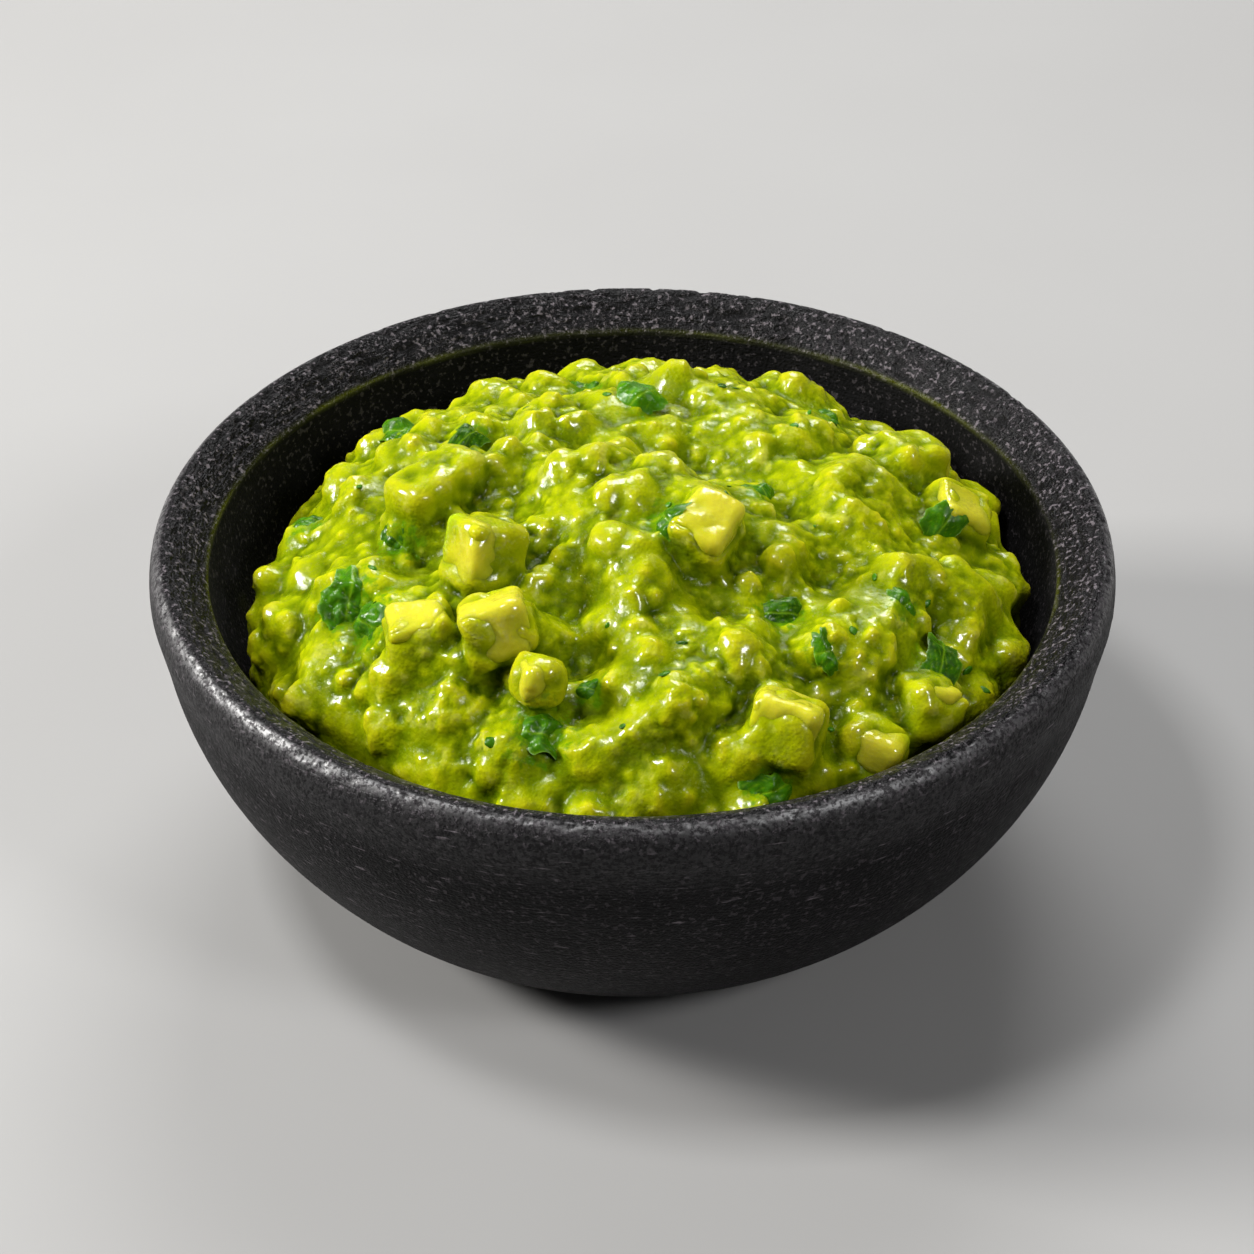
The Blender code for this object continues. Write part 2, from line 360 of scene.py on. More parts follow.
def ball(subdivisions: int) -> Arrays:
    """The vertices and triangles of a ball of radius 1."""
    shape = bmesh.new()
    bmesh.ops.create_icosphere(shape, subdivisions=subdivisions, radius=1)
    return arrays_of(shape)


def random_turn(draw: random.Random) -> np.ndarray:
    """A rotation matrix that points any way."""
    angles = [draw.uniform(0, 2 * math.pi) for _ in range(3)]
    return np.array(Euler(angles).to_matrix())


def name_salt(name: str) -> int:
    """A fixed number for a name, so that each dice gets its own pattern."""
    return sum(ord(letter) for letter in name)


# ---------------------------------------------------------------------------
# Shader helpers


class Sheet:
    """Adds nodes to a node tree, so that a finish reads as a list of steps."""

    def __init__(self, tree: bpy.types.NodeTree) -> None:
        """Work on this tree."""
        self.tree = tree

    def node(self, kind: str, inputs: dict | None = None, **settings: object) -> bpy.types.Node:
        """Add a node.

        Args:
            kind: The node's type name without its ShaderNode prefix.
            inputs: For input sockets, by name or number, a value to set or a socket to join.
            **settings: Properties of the node.

        Returns:
            The node.
        """
        made = self.tree.nodes.new("ShaderNode" + kind)
        for name, value in settings.items():
            setattr(made, name, value)
        for key, value in (inputs or {}).items():
            self.feed(made.inputs[key], value)
        return made

    def feed(self, socket: Socket, value: object) -> None:
        """Set a socket to a value, or join it to the socket given."""
        if isinstance(value, Socket):
            self.tree.links.new(value, socket)
        elif isinstance(value, tuple) and len(value) == 3 and socket.type == "RGBA":
            socket.default_value = (*value, 1)
        else:
            socket.default_value = value

    def math(self, operation: str, *values: object) -> Socket:
        """The result of a sum of one, two or three values."""
        return self.node("Math", dict(enumerate(values)), operation=operation).outputs[0]

    def product(self, first: object, second: object) -> Socket:
        """Two values multiplied."""
        return self.math("MULTIPLY", first, second)

    def sloped(self, value: object, slope: object, start: object) -> Socket:
        """The value times the slope, added to the start."""
        return self.math("MULTIPLY_ADD", value, slope, start)

    def vector(self, operation: str, *values: object) -> Socket:
        """The result of a sum of one or two vectors."""
        return self.node("VectorMath", dict(enumerate(values)), operation=operation).outputs[0]

    def noise(self, vector: object, scale: object, **settings: float) -> Socket:
        """Smooth noise from 0 to 1."""
        return self.node("TexNoise", {"Vector": vector, "Scale": scale, **settings}).outputs["Fac"]

    def between(
        self, value: object, low: object, high: object, to_low: float = 0, to_high: float = 1
    ) -> Socket:
        """The value moved from the range low to high into the range to_low to to_high, with eased ends."""
        inputs = {"Value": value, 1: low, 2: high, 3: to_low, 4: to_high}
        return self.node("MapRange", inputs, interpolation_type="SMOOTHSTEP").outputs[0]

    def mix(self, share: object, first: object, second: object) -> Socket:
        """A colour between two colours."""
        inputs = {"Factor": share, 6: first, 7: second}
        return self.node("Mix", inputs, data_type="RGBA", blend_type="MIX").outputs[2]

    def ramp(self, value: object, stops: tuple[tuple[float, Colour], ...]) -> Socket:
        """A colour picked along a row of colours."""
        made = self.node("ValToRGB", {0: value})
        elements = made.color_ramp.elements
        while len(elements) < len(stops):
            elements.new(0.5)
        for element, (place, colour) in zip(elements, stops):
            element.position = place
            element.color = (*colour, 1)
        return made.outputs[0]

    def attribute(self, name: str) -> Socket:
        """A number stored on the mesh."""
        return self.node("Attribute", attribute_name=name).outputs["Fac"]


class EffectGroups:
    """The shader groups that several finishes share, each built once."""

    SEED_STEP = (0.131, 0.173, 0.119)

    def __init__(self) -> None:
        """Build the groups."""
        self.patches = self._build_patches()
        self.grain = self._build_grain()
        self.film = self._build_film()
        self.hairlines = self._build_hairlines()

    @staticmethod
    def _open(
        name: str, inputs: dict[str, float], outputs: tuple[str, ...]
    ) -> tuple[Sheet, dict[str, Socket], dict[str, Socket], Socket]:
        """Start a group that takes a Vector besides its own inputs, one of which is Size.

        Args:
            name: The group's name.
            inputs: Its own inputs, all numbers, with their defaults.
            outputs: Its outputs, all numbers.

        Returns:
            The group's sheet, its inputs and its outputs by name, and the scale that Size asks for.
        """
        tree = bpy.data.node_groups.new(name, "ShaderNodeTree")
        tree.interface.new_socket("Vector", in_out="INPUT", socket_type="NodeSocketVector")
        for label, default in inputs.items():
            socket = tree.interface.new_socket(label, in_out="INPUT", socket_type="NodeSocketFloat")
            socket.default_value = default
        for label in outputs:
            tree.interface.new_socket(label, in_out="OUTPUT", socket_type="NodeSocketFloat")
        entry = {socket.name: socket for socket in tree.nodes.new("NodeGroupInput").outputs}
        leave = {socket.name: socket for socket in tree.nodes.new("NodeGroupOutput").inputs}
        sheet = Sheet(tree)
        return sheet, entry, leave, sheet.math("DIVIDE", 1.0, entry["Size"])

    def _moved(self, sheet: Sheet, entry: dict[str, Socket]) -> Socket:
        """The group's Vector moved away by its Seed, so that each seed gives an unrelated pattern."""
        step = sheet.node("VectorMath", {0: self.SEED_STEP, "Scale": entry["Seed"]}, operation="SCALE")
        return sheet.vector("ADD", entry["Vector"], step.outputs[0])

    def _build_patches(self) -> bpy.types.NodeTree:
        """Soft irregular patches of a given size: 0 between them and 1 in them."""
        inputs = {"Size": 5 * MM, "Low": 0.4, "High": 0.6, "Seed": 0.0}
        sheet, entry, leave, scale = self._open("patches", inputs, ("Mask",))
        noise = sheet.noise(self._moved(sheet, entry), scale, Detail=3.0)
        sheet.feed(leave["Mask"], sheet.between(noise, entry["Low"], entry["High"]))
        return sheet.tree

    def _build_grain(self) -> bpy.types.NodeTree:
        """A fine uneven height, for a Bump node: grains of a given size over finer ones."""
        sheet, entry, leave, scale = self._open("grain", {"Size": 0.6 * MM, "Height": 1.0}, ("Height",))
        noise = sheet.noise(entry["Vector"], scale, Detail=2.0, Roughness=0.55)
        cells = sheet.node("TexVoronoi", {"Vector": entry["Vector"], "Scale": scale})
        domes = sheet.math("SUBTRACT", 0.6, cells.outputs["Distance"])
        sheet.feed(leave["Height"], sheet.product(sheet.sloped(domes, 0.6, noise), entry["Height"]))
        return sheet.tree

    def _build_film(self) -> bpy.types.NodeTree:
        """A wet film that lies unevenly: how rough the surface is, and how much film lies on it."""
        inputs = {"Size": 4 * MM, "Dry": 0.45, "Wet": 0.15}
        sheet, entry, leave, scale = self._open("wet film", inputs, ("Roughness", "Film"))
        film = sheet.between(sheet.noise(entry["Vector"], scale, Detail=3.0), 0.36, 0.6)
        inputs = {0: film, 3: entry["Dry"], 4: entry["Wet"]}
        rough = sheet.node("MapRange", inputs, interpolation_type="LINEAR")
        sheet.feed(leave["Roughness"], rough.outputs[0])
        sheet.feed(leave["Film"], film)
        return sheet.tree

    def _build_hairlines(self) -> bpy.types.NodeTree:
        """Short curved hairlines in patches: 0 between them and 1 on them."""
        inputs = {"Size": 1.2 * MM, "Width": 0.03, "Seed": 0.0}
        sheet, entry, leave, scale = self._open("hairlines", inputs, ("Mask",))
        noise = sheet.noise(self._moved(sheet, entry), scale, Detail=1.0, Distortion=1.2)
        off_middle = sheet.math("ABSOLUTE", sheet.math("SUBTRACT", noise, 0.5))
        line = sheet.between(off_middle, 0.0, entry["Width"], 1.0, 0.0)
        broken = sheet.noise(entry["Vector"], sheet.product(scale, 0.9), Detail=2.0)
        sheet.feed(leave["Mask"], sheet.product(line, sheet.between(broken, 0.44, 0.58)))
        return sheet.tree


class FinishSheet(Sheet):
    """The sheet of one material, with the shared effects at hand."""

    def __init__(self, name: str, groups: EffectGroups) -> None:
        """Start a material of this name."""
        self.material = bpy.data.materials.new(name)
        self.material.use_nodes = True
        super().__init__(self.material.node_tree)
        self.groups = groups
        self.shader = self.tree.nodes["Principled BSDF"]
        self.place = self.node("TexCoord").outputs["Object"]

    def effect(
        self, group: bpy.types.NodeTree, size: float, vector: Socket | None = None, **inputs: object
    ) -> bpy.types.Node:
        """Put a shared group into the material.

        Args:
            group: One of the groups.
            size: The size of its pattern.
            vector: Where its pattern lies, or None for the object's own coordinates.
            **inputs: Values for its other inputs, by name.

        Returns:
            The group node.
        """
        inputs = {"Vector": self.place if vector is None else vector, "Size": size, **inputs}
        return self.node("Group", inputs, node_tree=group)

    def patches(
        self, size: float, low: float, high: float, seed: float = 0.0, vector: Socket | None = None
    ) -> Socket:
        """Soft irregular patches: 0 between them and 1 in them."""
        return self.effect(self.groups.patches, size, vector, Low=low, High=high, Seed=seed).outputs[0]

    def hairlines(self, size: float, width: float, seed: float) -> Socket:
        """Short curved hairlines: 0 between them and 1 on them."""
        return self.effect(self.groups.hairlines, size, Width=width, Seed=seed).outputs[0]

    def film(self, size: float, dry: float, wet: float) -> tuple[Socket, Socket]:
        """A wet film: how rough the surface is, and how much film lies on it."""
        made = self.effect(self.groups.film, size, Dry=dry, Wet=wet)
        return made.outputs["Roughness"], made.outputs["Film"]

    def relief(self, height: Socket, strength: float, distance: float) -> Socket:
        """The normal of a surface with this height on it."""
        inputs = {"Height": height, "Strength": strength, "Distance": distance}
        return self.node("Bump", inputs).outputs[0]

    def grain(self, size: float, height: float = 1.0, vector: Socket | None = None) -> Socket:
        """A fine uneven height."""
        return self.effect(self.groups.grain, size, vector, Height=height).outputs[0]

    def finished(self, inputs: dict[str, object]) -> bpy.types.Material:
        """Feed the shader's inputs, by name, and hand over the material."""
        for name, value in inputs.items():
            self.feed(self.shader.inputs[name], value)
        return self.material


# ---------------------------------------------------------------------------
# Finishes


@dataclass(frozen=True)
class StoneFinish:
    """Near-black stone: pitted and scratched on the rim, with painted glints in lighter specks and streaks,
    satin shoulders smoothed by wear and lightened by a painted sheen, dull inside.
    """

    dark: Colour = (0.0012, 0.0011, 0.0013)
    mid: Colour = (0.0040, 0.0037, 0.0042)
    # lighter spots of wear, and a painted sheen on the rim's shoulders
    worn_and_sheen: Colour = (0.030, 0.027, 0.030)
    # pale scratches, and painted glints in specks and streaks
    frost_and_glint: Colour = (0.22, 0.192, 0.212)
    smear: Colour = (0.050, 0.055, 0.003)
    lathe_radius: float = 10 * MM

    def material(self, groups: EffectGroups) -> bpy.types.Material:
        """Build the material. It reads the bowl's attributes track, rim, pit, worn, inside and smear."""
        sheet = FinishSheet("dark stone", groups)
        rim, pit, shoulder_wear_and_sheen, inside = map(sheet.attribute, ("rim", "pit", "worn_and_sheen", "inside"))
        lathe = self._lathe_place(sheet)
        clouds = sheet.patches(9 * MM, 0.3, 0.75)
        glint_specks = sheet.patches(0.85 * MM, 0.57, 0.66, 3.0)
        spots = sheet.patches(1.5 * MM, 0.55, 0.70, 8.0)
        glint_streaks = sheet.patches(0.45 * MM, 0.63, 0.76, 5.0, lathe)
        polish = sheet.patches(0.7 * MM, 0.44, 0.58, 12.0)
        sheen_breakup = sheet.patches(2.2 * MM, 0.42, 0.66, 6.0)
        smears = sheet.patches(2.2 * MM, 0.40, 0.62, 9.0, lathe)
        curls = sheet.hairlines(1.1 * MM, 0.10, 11.0)
        lines = sheet.math("ADD", sheet.hairlines(1.3 * MM, 0.03, 1.0), sheet.hairlines(2.6 * MM, 0.016, 4.0))

        colour = sheet.mix(clouds, self.dark, self.mid)
        colour = sheet.mix(sheet.product(spots, 0.15), colour, self.worn_and_sheen)
        # painted sheen: the rim's shoulder lightened in patches, standing in for its satin highlight
        colour = sheet.mix(sheet.product(shoulder_wear_and_sheen, sheet.sloped(sheen_breakup, 0.5, 0.4)), colour, self.worn_and_sheen)
        scratched = sheet.product(sheet.product(lines, 0.30), sheet.sloped(rim, 0.85, 0.05))
        colour = sheet.mix(sheet.math("MINIMUM", scratched, 0.75), colour, self.frost_and_glint)
        slope = sheet.math("SUBTRACT", rim, shoulder_wear_and_sheen)
        # painted glints: bright specks over the rim's slope, standing in for glints off the stone's grains
        colour = sheet.mix(sheet.product(glint_specks, sheet.sloped(slope, 0.42, 0.14)), colour, self.frost_and_glint)
        outside = sheet.math("SUBTRACT", 1.0, sheet.math("MAXIMUM", rim, inside))
        # painted glints: bright specks drawn out around the outer wall
        colour = sheet.mix(sheet.product(glint_streaks, sheet.product(outside, 0.55)), colour, self.frost_and_glint)
        # painted shade: the pits darkened towards the darkest stone colour
        colour = sheet.mix(sheet.between(pit, 0.2, 0.9, 0, 0.8), colour, self.dark)
        smeared = sheet.product(sheet.sloped(smears, 0.7, 0.3), sheet.attribute("smear"))
        colour = sheet.mix(smeared, colour, self.smear)

        rough = sheet.sloped(rim, -0.22, 0.58)
        for mask, change in ((shoulder_wear_and_sheen, -0.10), (inside, 0.30), (spots, 0.10), (pit, 0.2), (smeared, -0.2)):
            rough = sheet.sloped(mask, change, rough)
        height = sheet.math("ADD", sheet.grain(0.55 * MM), sheet.grain(0.35 * MM, 0.5, lathe))
        height = sheet.sloped(lines, 0.35, height)
        satin = sheet.sloped(sheet.math("MAXIMUM", polish, curls), 0.80, 0.12)
        return sheet.finished(
            {
                "Base Color": colour,
                "Roughness": rough,
                "Specular IOR Level": 0.12,
                "Coat Weight": sheet.product(shoulder_wear_and_sheen, satin),
                "Coat Roughness": 0.46,
                "Coat IOR": 2.0,
                "Normal": sheet.relief(height, 1.0, 0.24 * MM),
            }
        )

    def _lathe_place(self, sheet: FinishSheet) -> Socket:
        """A place whose patterns come out drawn out around the bowl."""
        around = sheet.vector("NORMALIZE", sheet.vector("MULTIPLY", sheet.place, (1.0, 1.0, 0.0)))
        around = sheet.vector("MULTIPLY", around, (self.lathe_radius, self.lathe_radius, 0.0))
        along = sheet.node("CombineXYZ", {"Z": sheet.attribute("track")})
        return sheet.vector("ADD", around, along.outputs[0])


@dataclass(frozen=True)
class MashFinish:
    """Wet avocado mash: yellow with painted light on its lumps, olive with painted shade in its creases,
    green where herbs have bled.
    """

    # deep and hollow are painted shade for the creases; crest is painted light on the lumps, and also the
    # colour of pale bits
    deep: Colour = (0.034, 0.062, 0.0003)
    hollow: Colour = (0.128, 0.184, 0.0006)
    body: Colour = (0.292, 0.345, 0.0010)
    crest: Colour = (0.425, 0.420, 0.006)
    # pale pulp, kept to the raised lumps as painted creamy light
    pulp_and_light: Colour = (0.56, 0.55, 0.10)
    leaf_stain: Colour = (0.060, 0.19, 0.002)
    grain_size: float = 0.65 * MM

    def material(self, groups: EffectGroups) -> bpy.types.Material:
        """Build the material. It reads the mash's attributes height and stain."""
        sheet = FinishSheet("avocado mash", groups)
        height, stain = map(sheet.attribute, ("height", "stain"))
        clouds = sheet.patches(7 * MM, 0.3, 0.7)
        bits = sheet.patches(1.4 * MM, 0.45, 0.7, 2.0)
        pulp_and_light = sheet.patches(2.8 * MM, 0.57, 0.68, 4.0)

        # painted shade and light: darker and greener in the creases, lighter and yellower on the crests, by
        # the height attribute, with random clouds
        depth = sheet.sloped(sheet.math("SUBTRACT", clouds, 0.5), 0.14, sheet.sloped(height, 0.5, 0.5))
        stops = ((0.14, self.deep), (0.40, self.hollow), (0.63, self.body), (0.93, self.crest))
        colour = sheet.mix(sheet.product(bits, 0.16), sheet.ramp(depth, stops), self.crest)
        raised = sheet.between(height, -0.25, 0.35, 0.1, 1)
        # pale pulp patches only on the raised lumps: partly real pulp, partly painted creamy light on the
        # crests
        colour = sheet.mix(sheet.product(sheet.product(pulp_and_light, raised), 0.30), colour, self.pulp_and_light)
        ragged = sheet.math("ADD", stain, sheet.sloped(bits, 0.5, -0.3))
        colour = sheet.mix(sheet.between(ragged, 0.15, 0.9, 0, 0.8), colour, self.leaf_stain)

        rough, film = sheet.film(4 * MM, 0.28, 0.15)
        dots = sheet.patches(0.9 * MM, 0.50, 0.57, 6.0)
        shine = sheet.math("MAXIMUM", sheet.hairlines(1.6 * MM, 0.17, 2.0), dots)
        shine = sheet.product(sheet.sloped(shine, 0.92, 0.08), raised)
        return sheet.finished(
            {
                "Base Color": colour,
                "Roughness": rough,
                "Specular IOR Level": 0.03,
                "Coat Weight": sheet.product(shine, film),
                "Coat Roughness": 0.19,
                "Coat IOR": 1.85,
                "Subsurface Weight": 0.45,
                "Subsurface Radius": (1.0, 0.9, 0.08),
                "Subsurface Scale": 1.4 * MM,
                "Normal": sheet.relief(sheet.grain(self.grain_size), 0.6, 0.20 * MM),
            }
        )


@dataclass(frozen=True)
class FleshFinish:
    """Cut avocado: soft yellow that turns green towards the side that lay under the skin."""

    heart: Colour = (0.53, 0.485, 0.030)
    middle: Colour = (0.45, 0.435, 0.008)
    outer: Colour = (0.26, 0.38, 0.004)
    under_skin: Colour = (0.03, 0.15, 0.002)
    film: Colour = (0.31, 0.37, 0.0015)
    grain_size: float = 0.9 * MM

    def material(self, groups: EffectGroups) -> bpy.types.Material:
        """Build the material. It reads the dice's attributes skin and film."""
        sheet = FinishSheet("avocado flesh", groups)
        skin, coated = map(sheet.attribute, ("skin", "film"))
        clouds = sheet.patches(5 * MM, 0.3, 0.7, 1.0)
        near = sheet.sloped(sheet.math("SUBTRACT", clouds, 0.5), 0.16, skin)
        stops = ((0.30, self.heart), (0.64, self.middle), (0.84, self.outer), (0.94, self.under_skin))
        bruises = sheet.patches(1.6 * MM, 0.6, 0.75, 7.0)
        colour = sheet.mix(sheet.product(bruises, 0.25), sheet.ramp(near, stops), self.middle)
        colour = sheet.mix(sheet.product(coated, 0.85), colour, self.film)

        rough, film = sheet.film(3 * MM, 0.30, 0.15)
        dots = sheet.patches(0.8 * MM, 0.51, 0.57, 3.0)
        shine = sheet.math("MAXIMUM", sheet.hairlines(1.5 * MM, 0.17, 6.0), dots)
        return sheet.finished(
            {
                "Base Color": colour,
                "Roughness": rough,
                "Specular IOR Level": 0.06,
                "Coat Weight": sheet.product(sheet.sloped(shine, 0.94, 0.06), film),
                "Coat Roughness": 0.18,
                "Coat IOR": 1.8,
                "Subsurface Weight": 0.75,
                "Subsurface Radius": (1.0, 0.85, 0.12),
                "Subsurface Scale": 3.2 * MM,
                "Normal": sheet.relief(sheet.grain(self.grain_size), 0.5, 0.16 * MM),
            }
        )


@dataclass(frozen=True)
class HerbFinish:
    """Wet chopped leaf: dark green, paler along its veins and cut edges."""

    shade: Colour = (0.010, 0.040, 0.0005)
    green: Colour = (0.050, 0.18, 0.002)
    pale: Colour = (0.17, 0.32, 0.006)

    def material(self, groups: EffectGroups) -> bpy.types.Material:
        """Build the material. It reads the leaves' attributes vein and tone."""
        sheet = FinishSheet("green herb", groups)
        tone, vein = map(sheet.attribute, ("tone", "vein"))
        clouds = sheet.patches(1.8 * MM, 0.3, 0.7, 5.0)
        colour = sheet.mix(sheet.sloped(clouds, 0.5, sheet.product(tone, 0.6)), self.shade, self.green)
        return sheet.finished(
            {
                "Base Color": sheet.mix(sheet.product(vein, 0.7), colour, self.pale),
                "Roughness": sheet.film(1.4 * MM, 0.45, 0.20)[0],
                "Specular IOR Level": 0.22,
                "Subsurface Weight": 0.12,
                "Subsurface Radius": (0.3, 1.0, 0.15),
                "Subsurface Scale": 0.6 * MM,
                "Normal": sheet.relief(sheet.grain(0.5 * MM), 0.4, 0.10 * MM),
            }
        )


@dataclass(frozen=True)
class FloorFinish:
    """A pale matt table top."""

    colour: Colour = (0.33, 0.327, 0.322)
    shade: Colour = (0.315, 0.311, 0.306)

    def material(self, groups: EffectGroups) -> bpy.types.Material:
        """Build the material."""
        sheet = FinishSheet("pale table", groups)
        clouds = sheet.patches(120 * MM, 0.2, 0.8)
        return sheet.finished({"Base Color": sheet.mix(clouds, self.colour, self.shade), "Roughness": 0.75})


# ---------------------------------------------------------------------------
# The bowl


@dataclass
class StoneBowl:
    """The turned bowl, with the pits and the hand-ground unevenness of its stone."""

    node: str = "bowl"
    steps: int = 780
    rim_depth: float = 6.3 * MM
    rim_shoulder: float = 3.0 * MM
    rim_squareness: float = 2.3
    rim_slope: float = 6.1 * MM
    rim_fall: float = 4.7 * MM
    rim_bow: float = 1.25
    shoulder_points: int = 30
    slope_points: int = 34
    edge_rounding: float = 0.35 * MM
    neck_inset: float = 1.3 * MM
    neck_drop: float = 6.7 * MM
    lip_inset: float = 0.6 * MM
    lip_drop: float = 4.0 * MM
    foot_radius: float = 38 * MM
    foot_rounding: tuple[float, float] = (9 * MM, 2.4 * MM)  # across and up
    floor_radius: float = 26 * MM
    floor_thickness: float = 9 * MM
    inner_handles: tuple[tuple[float, float], ...] = ((63.5 * MM, 31 * MM), (50 * MM, 12 * MM))
    outer_handles: tuple[tuple[float, float], ...] = ((71.5 * MM, 27 * MM), (59.5 * MM, 11.5 * MM))
    pit_size: float = 1.8 * MM
    pit_depth: float = 0.36 * MM
    wobble: float = 0.12 * MM
    wobble_size: float = 34 * MM
    smear_width: float = 0.45 * MM
    smear_heights: tuple[float, float] = (36 * MM, 44 * MM)
    finish: StoneFinish = field(default_factory=StoneFinish)

    def __post_init__(self) -> None:
        """Take the bowl's radius and height from its solid."""
        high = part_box(self.node)[1]
        self.radius = high.x
        self.height = high.z

    @staticmethod
    def _curve(start: tuple, handles: tuple, end: tuple, count: int) -> list[Vector]:
        """Points along one cubic curve, both ends included."""
        corners = [Vector(p) for p in (start, *handles, end)]
        points = []
        for i in range(count):
            t = i / (count - 1)
            weights = ((1 - t) ** 3, 3 * t * (1 - t) ** 2, 3 * t * t * (1 - t), t**3)
            points.append(sum((w * p for w, p in zip(weights, corners)), Vector((0, 0))))
        return points

    def outline(self) -> tuple[list[Vector], list[str]]:
        """The bowl's half section, from the middle of its floor over the rim to the middle of its foot.

        Returns:
            The points as radius and height, and for each the name of its stretch.
        """
        crest = Vector((self.radius - self.rim_shoulder, self.height))
        edge = crest - Vector((self.rim_slope, self.rim_fall))
        lip = edge - Vector((self.lip_inset, self.lip_drop))
        inner = self._curve(lip, self.inner_handles, (self.floor_radius, self.floor_thickness), 24)[::-1]
        inner += [edge - Vector((self.edge_rounding / 2, self.edge_rounding * k)) for k in (3, 1)]
        rim = []
        for i in range(self.slope_points):
            share = 1 - i / self.slope_points
            rim.append(crest - Vector((share * self.rim_slope, share**self.rim_bow * self.rim_fall)))
        for i in range(self.shoulder_points):
            turn = math.pi / 2 * (1 - i / (self.shoulder_points - 1))
            across = math.cos(turn) ** (2 / self.rim_squareness) if i else 0.0
            up = math.sin(turn) ** (2 / self.rim_squareness) - 1
            rim.append(crest + Vector((across * self.rim_shoulder, up * self.rim_depth)))
        widest = self.height - self.rim_depth
        neck = (self.radius - self.neck_inset, widest - self.neck_drop)
        foot = (self.foot_radius + self.foot_rounding[0], self.foot_rounding[1])
        outer = self._curve(neck, self.outer_handles, foot, 30)
        base = [
            Vector((self.foot_radius + self.foot_rounding[0] / 3, self.foot_rounding[1] / 5)),
            Vector((self.foot_radius, 0)),
        ]
        stretches = {"inside": inner, "rim": rim, "outside": outer, "foot": base}
        kinds = [kind for kind, stretch in stretches.items() for _ in stretch]
        return [*inner, *rim, *outer, *base], kinds

    def build(self, groups: EffectGroups) -> bpy.types.Object:
        """Make the bowl.

        Args:
            groups: The shared shader groups.

        Returns:
            The piece that stands for the bowl's solid.
        """
        outline, kinds = self.outline()
        radii = np.array([p.x for p in outline])
        heights = np.array([p.y for p in outline])
        track = np.concatenate([[0], np.cumsum(np.hypot(np.diff(radii), np.diff(heights)))])
        angles = np.tile(np.arange(self.steps) * 2 * math.pi / self.steps, len(outline))
        points = self._turned(np.repeat(radii, self.steps), np.repeat(heights, self.steps), angles)
        rows = {}
        for kind in ("inside", "rim", "foot"):
            rows[kind] = np.repeat([float(own == kind) for own in kinds], self.steps)

        outward = np.stack([-np.gradient(heights), np.gradient(radii)], axis=1)
        outward /= np.linalg.norm(outward, axis=1)[:, None]
        across, up = np.repeat(outward, self.steps, axis=0).T
        pits = self._pits(points, np.clip(up * rows["rim"], 0, 1), rows)
        sway = self.wobble * (1 + layered_noise(points, self.wobble_size, 2, 5)) / 2 * (1 - rows["foot"])
        moved = points - self._turned(across, up, angles) * (pits + sway)[:, None]
        moved[:, 2] = np.clip(moved[:, 2], 0, self.height)

        mesh = self._closed(np.concatenate([moved, [[0, 0, heights[0]], [0, 0, 0]]]), len(outline))
        from_edge = np.repeat(np.abs(track - track[kinds.index("rim")]), self.steps)
        shoulder = smooth_step(across, 0.25, 0.62) * rows["rim"]
        marks = {
            "track": np.repeat(track, self.steps),
            "rim": rows["rim"] * smooth_step(up, 0.05, 0.5),
            "pit": pits / self.pit_depth,
            # the rim's outer shoulder: stone smoothed by wear, lightened by a painted sheen in the finish
            "worn_and_sheen": shoulder * (1 - 0.8 * smooth_step(across, 0.82, 0.99)),
            "inside": rows["inside"],
            "smear": self._smears(points, from_edge, rows),
        }
        for name, values in marks.items():
            put_attribute(mesh, name, np.concatenate([values, np.zeros(2)]))

        piece = dressed("stone_bowl", mesh, self.finish.material(groups))
        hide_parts(self.node)
        return piece

    @staticmethod
    def _turned(radii: np.ndarray, heights: np.ndarray, angles: np.ndarray) -> np.ndarray:
        """Radii and heights turned about the bowl's axis, as points."""
        return np.stack([radii * np.cos(angles), radii * np.sin(angles), heights], axis=1)

    def _smears(self, points: np.ndarray, from_edge: np.ndarray, rows: dict[str, np.ndarray]) -> np.ndarray:
        """Where mash has been wiped on the stone: thinly on the rim's inner edge, more on the wall."""
        around = layered_noise(points, 30 * MM, 2, 77) * 0.5 + 0.5
        edge = np.exp(-((from_edge / self.smear_width) ** 2)) * smooth_step(around, 0.15, 0.6)
        low = rows["inside"] * (1 - smooth_step(points[:, 2], *self.smear_heights))
        low *= smooth_step(layered_noise(points, 9 * MM, 3, 78), -0.2, 0.6)
        return np.clip(np.maximum(edge, low * 0.4), 0, 1)

    def _pits(self, points: np.ndarray, up: np.ndarray, rows: dict[str, np.ndarray]) -> np.ndarray:
        """How deep the stone is pitted at each point: much on the rim's top, a little on the walls."""
        crags = smooth_step(layered_noise(points, self.pit_size, 3, 40), 0.10, 0.95)
        distance, own = cell_distance(points, self.pit_size * 0.8, 60)
        holes = smooth_step(0.42 - distance, 0.0, 0.22) * (own > 0.55) * 0.9
        share = 0.15 + 0.85 * smooth_step(up, 0.35, 0.8)
        depth = self.pit_depth * np.maximum(crags, holes) * share
        return depth * (1 - rows["foot"]) * (1 - 0.8 * rows["inside"])

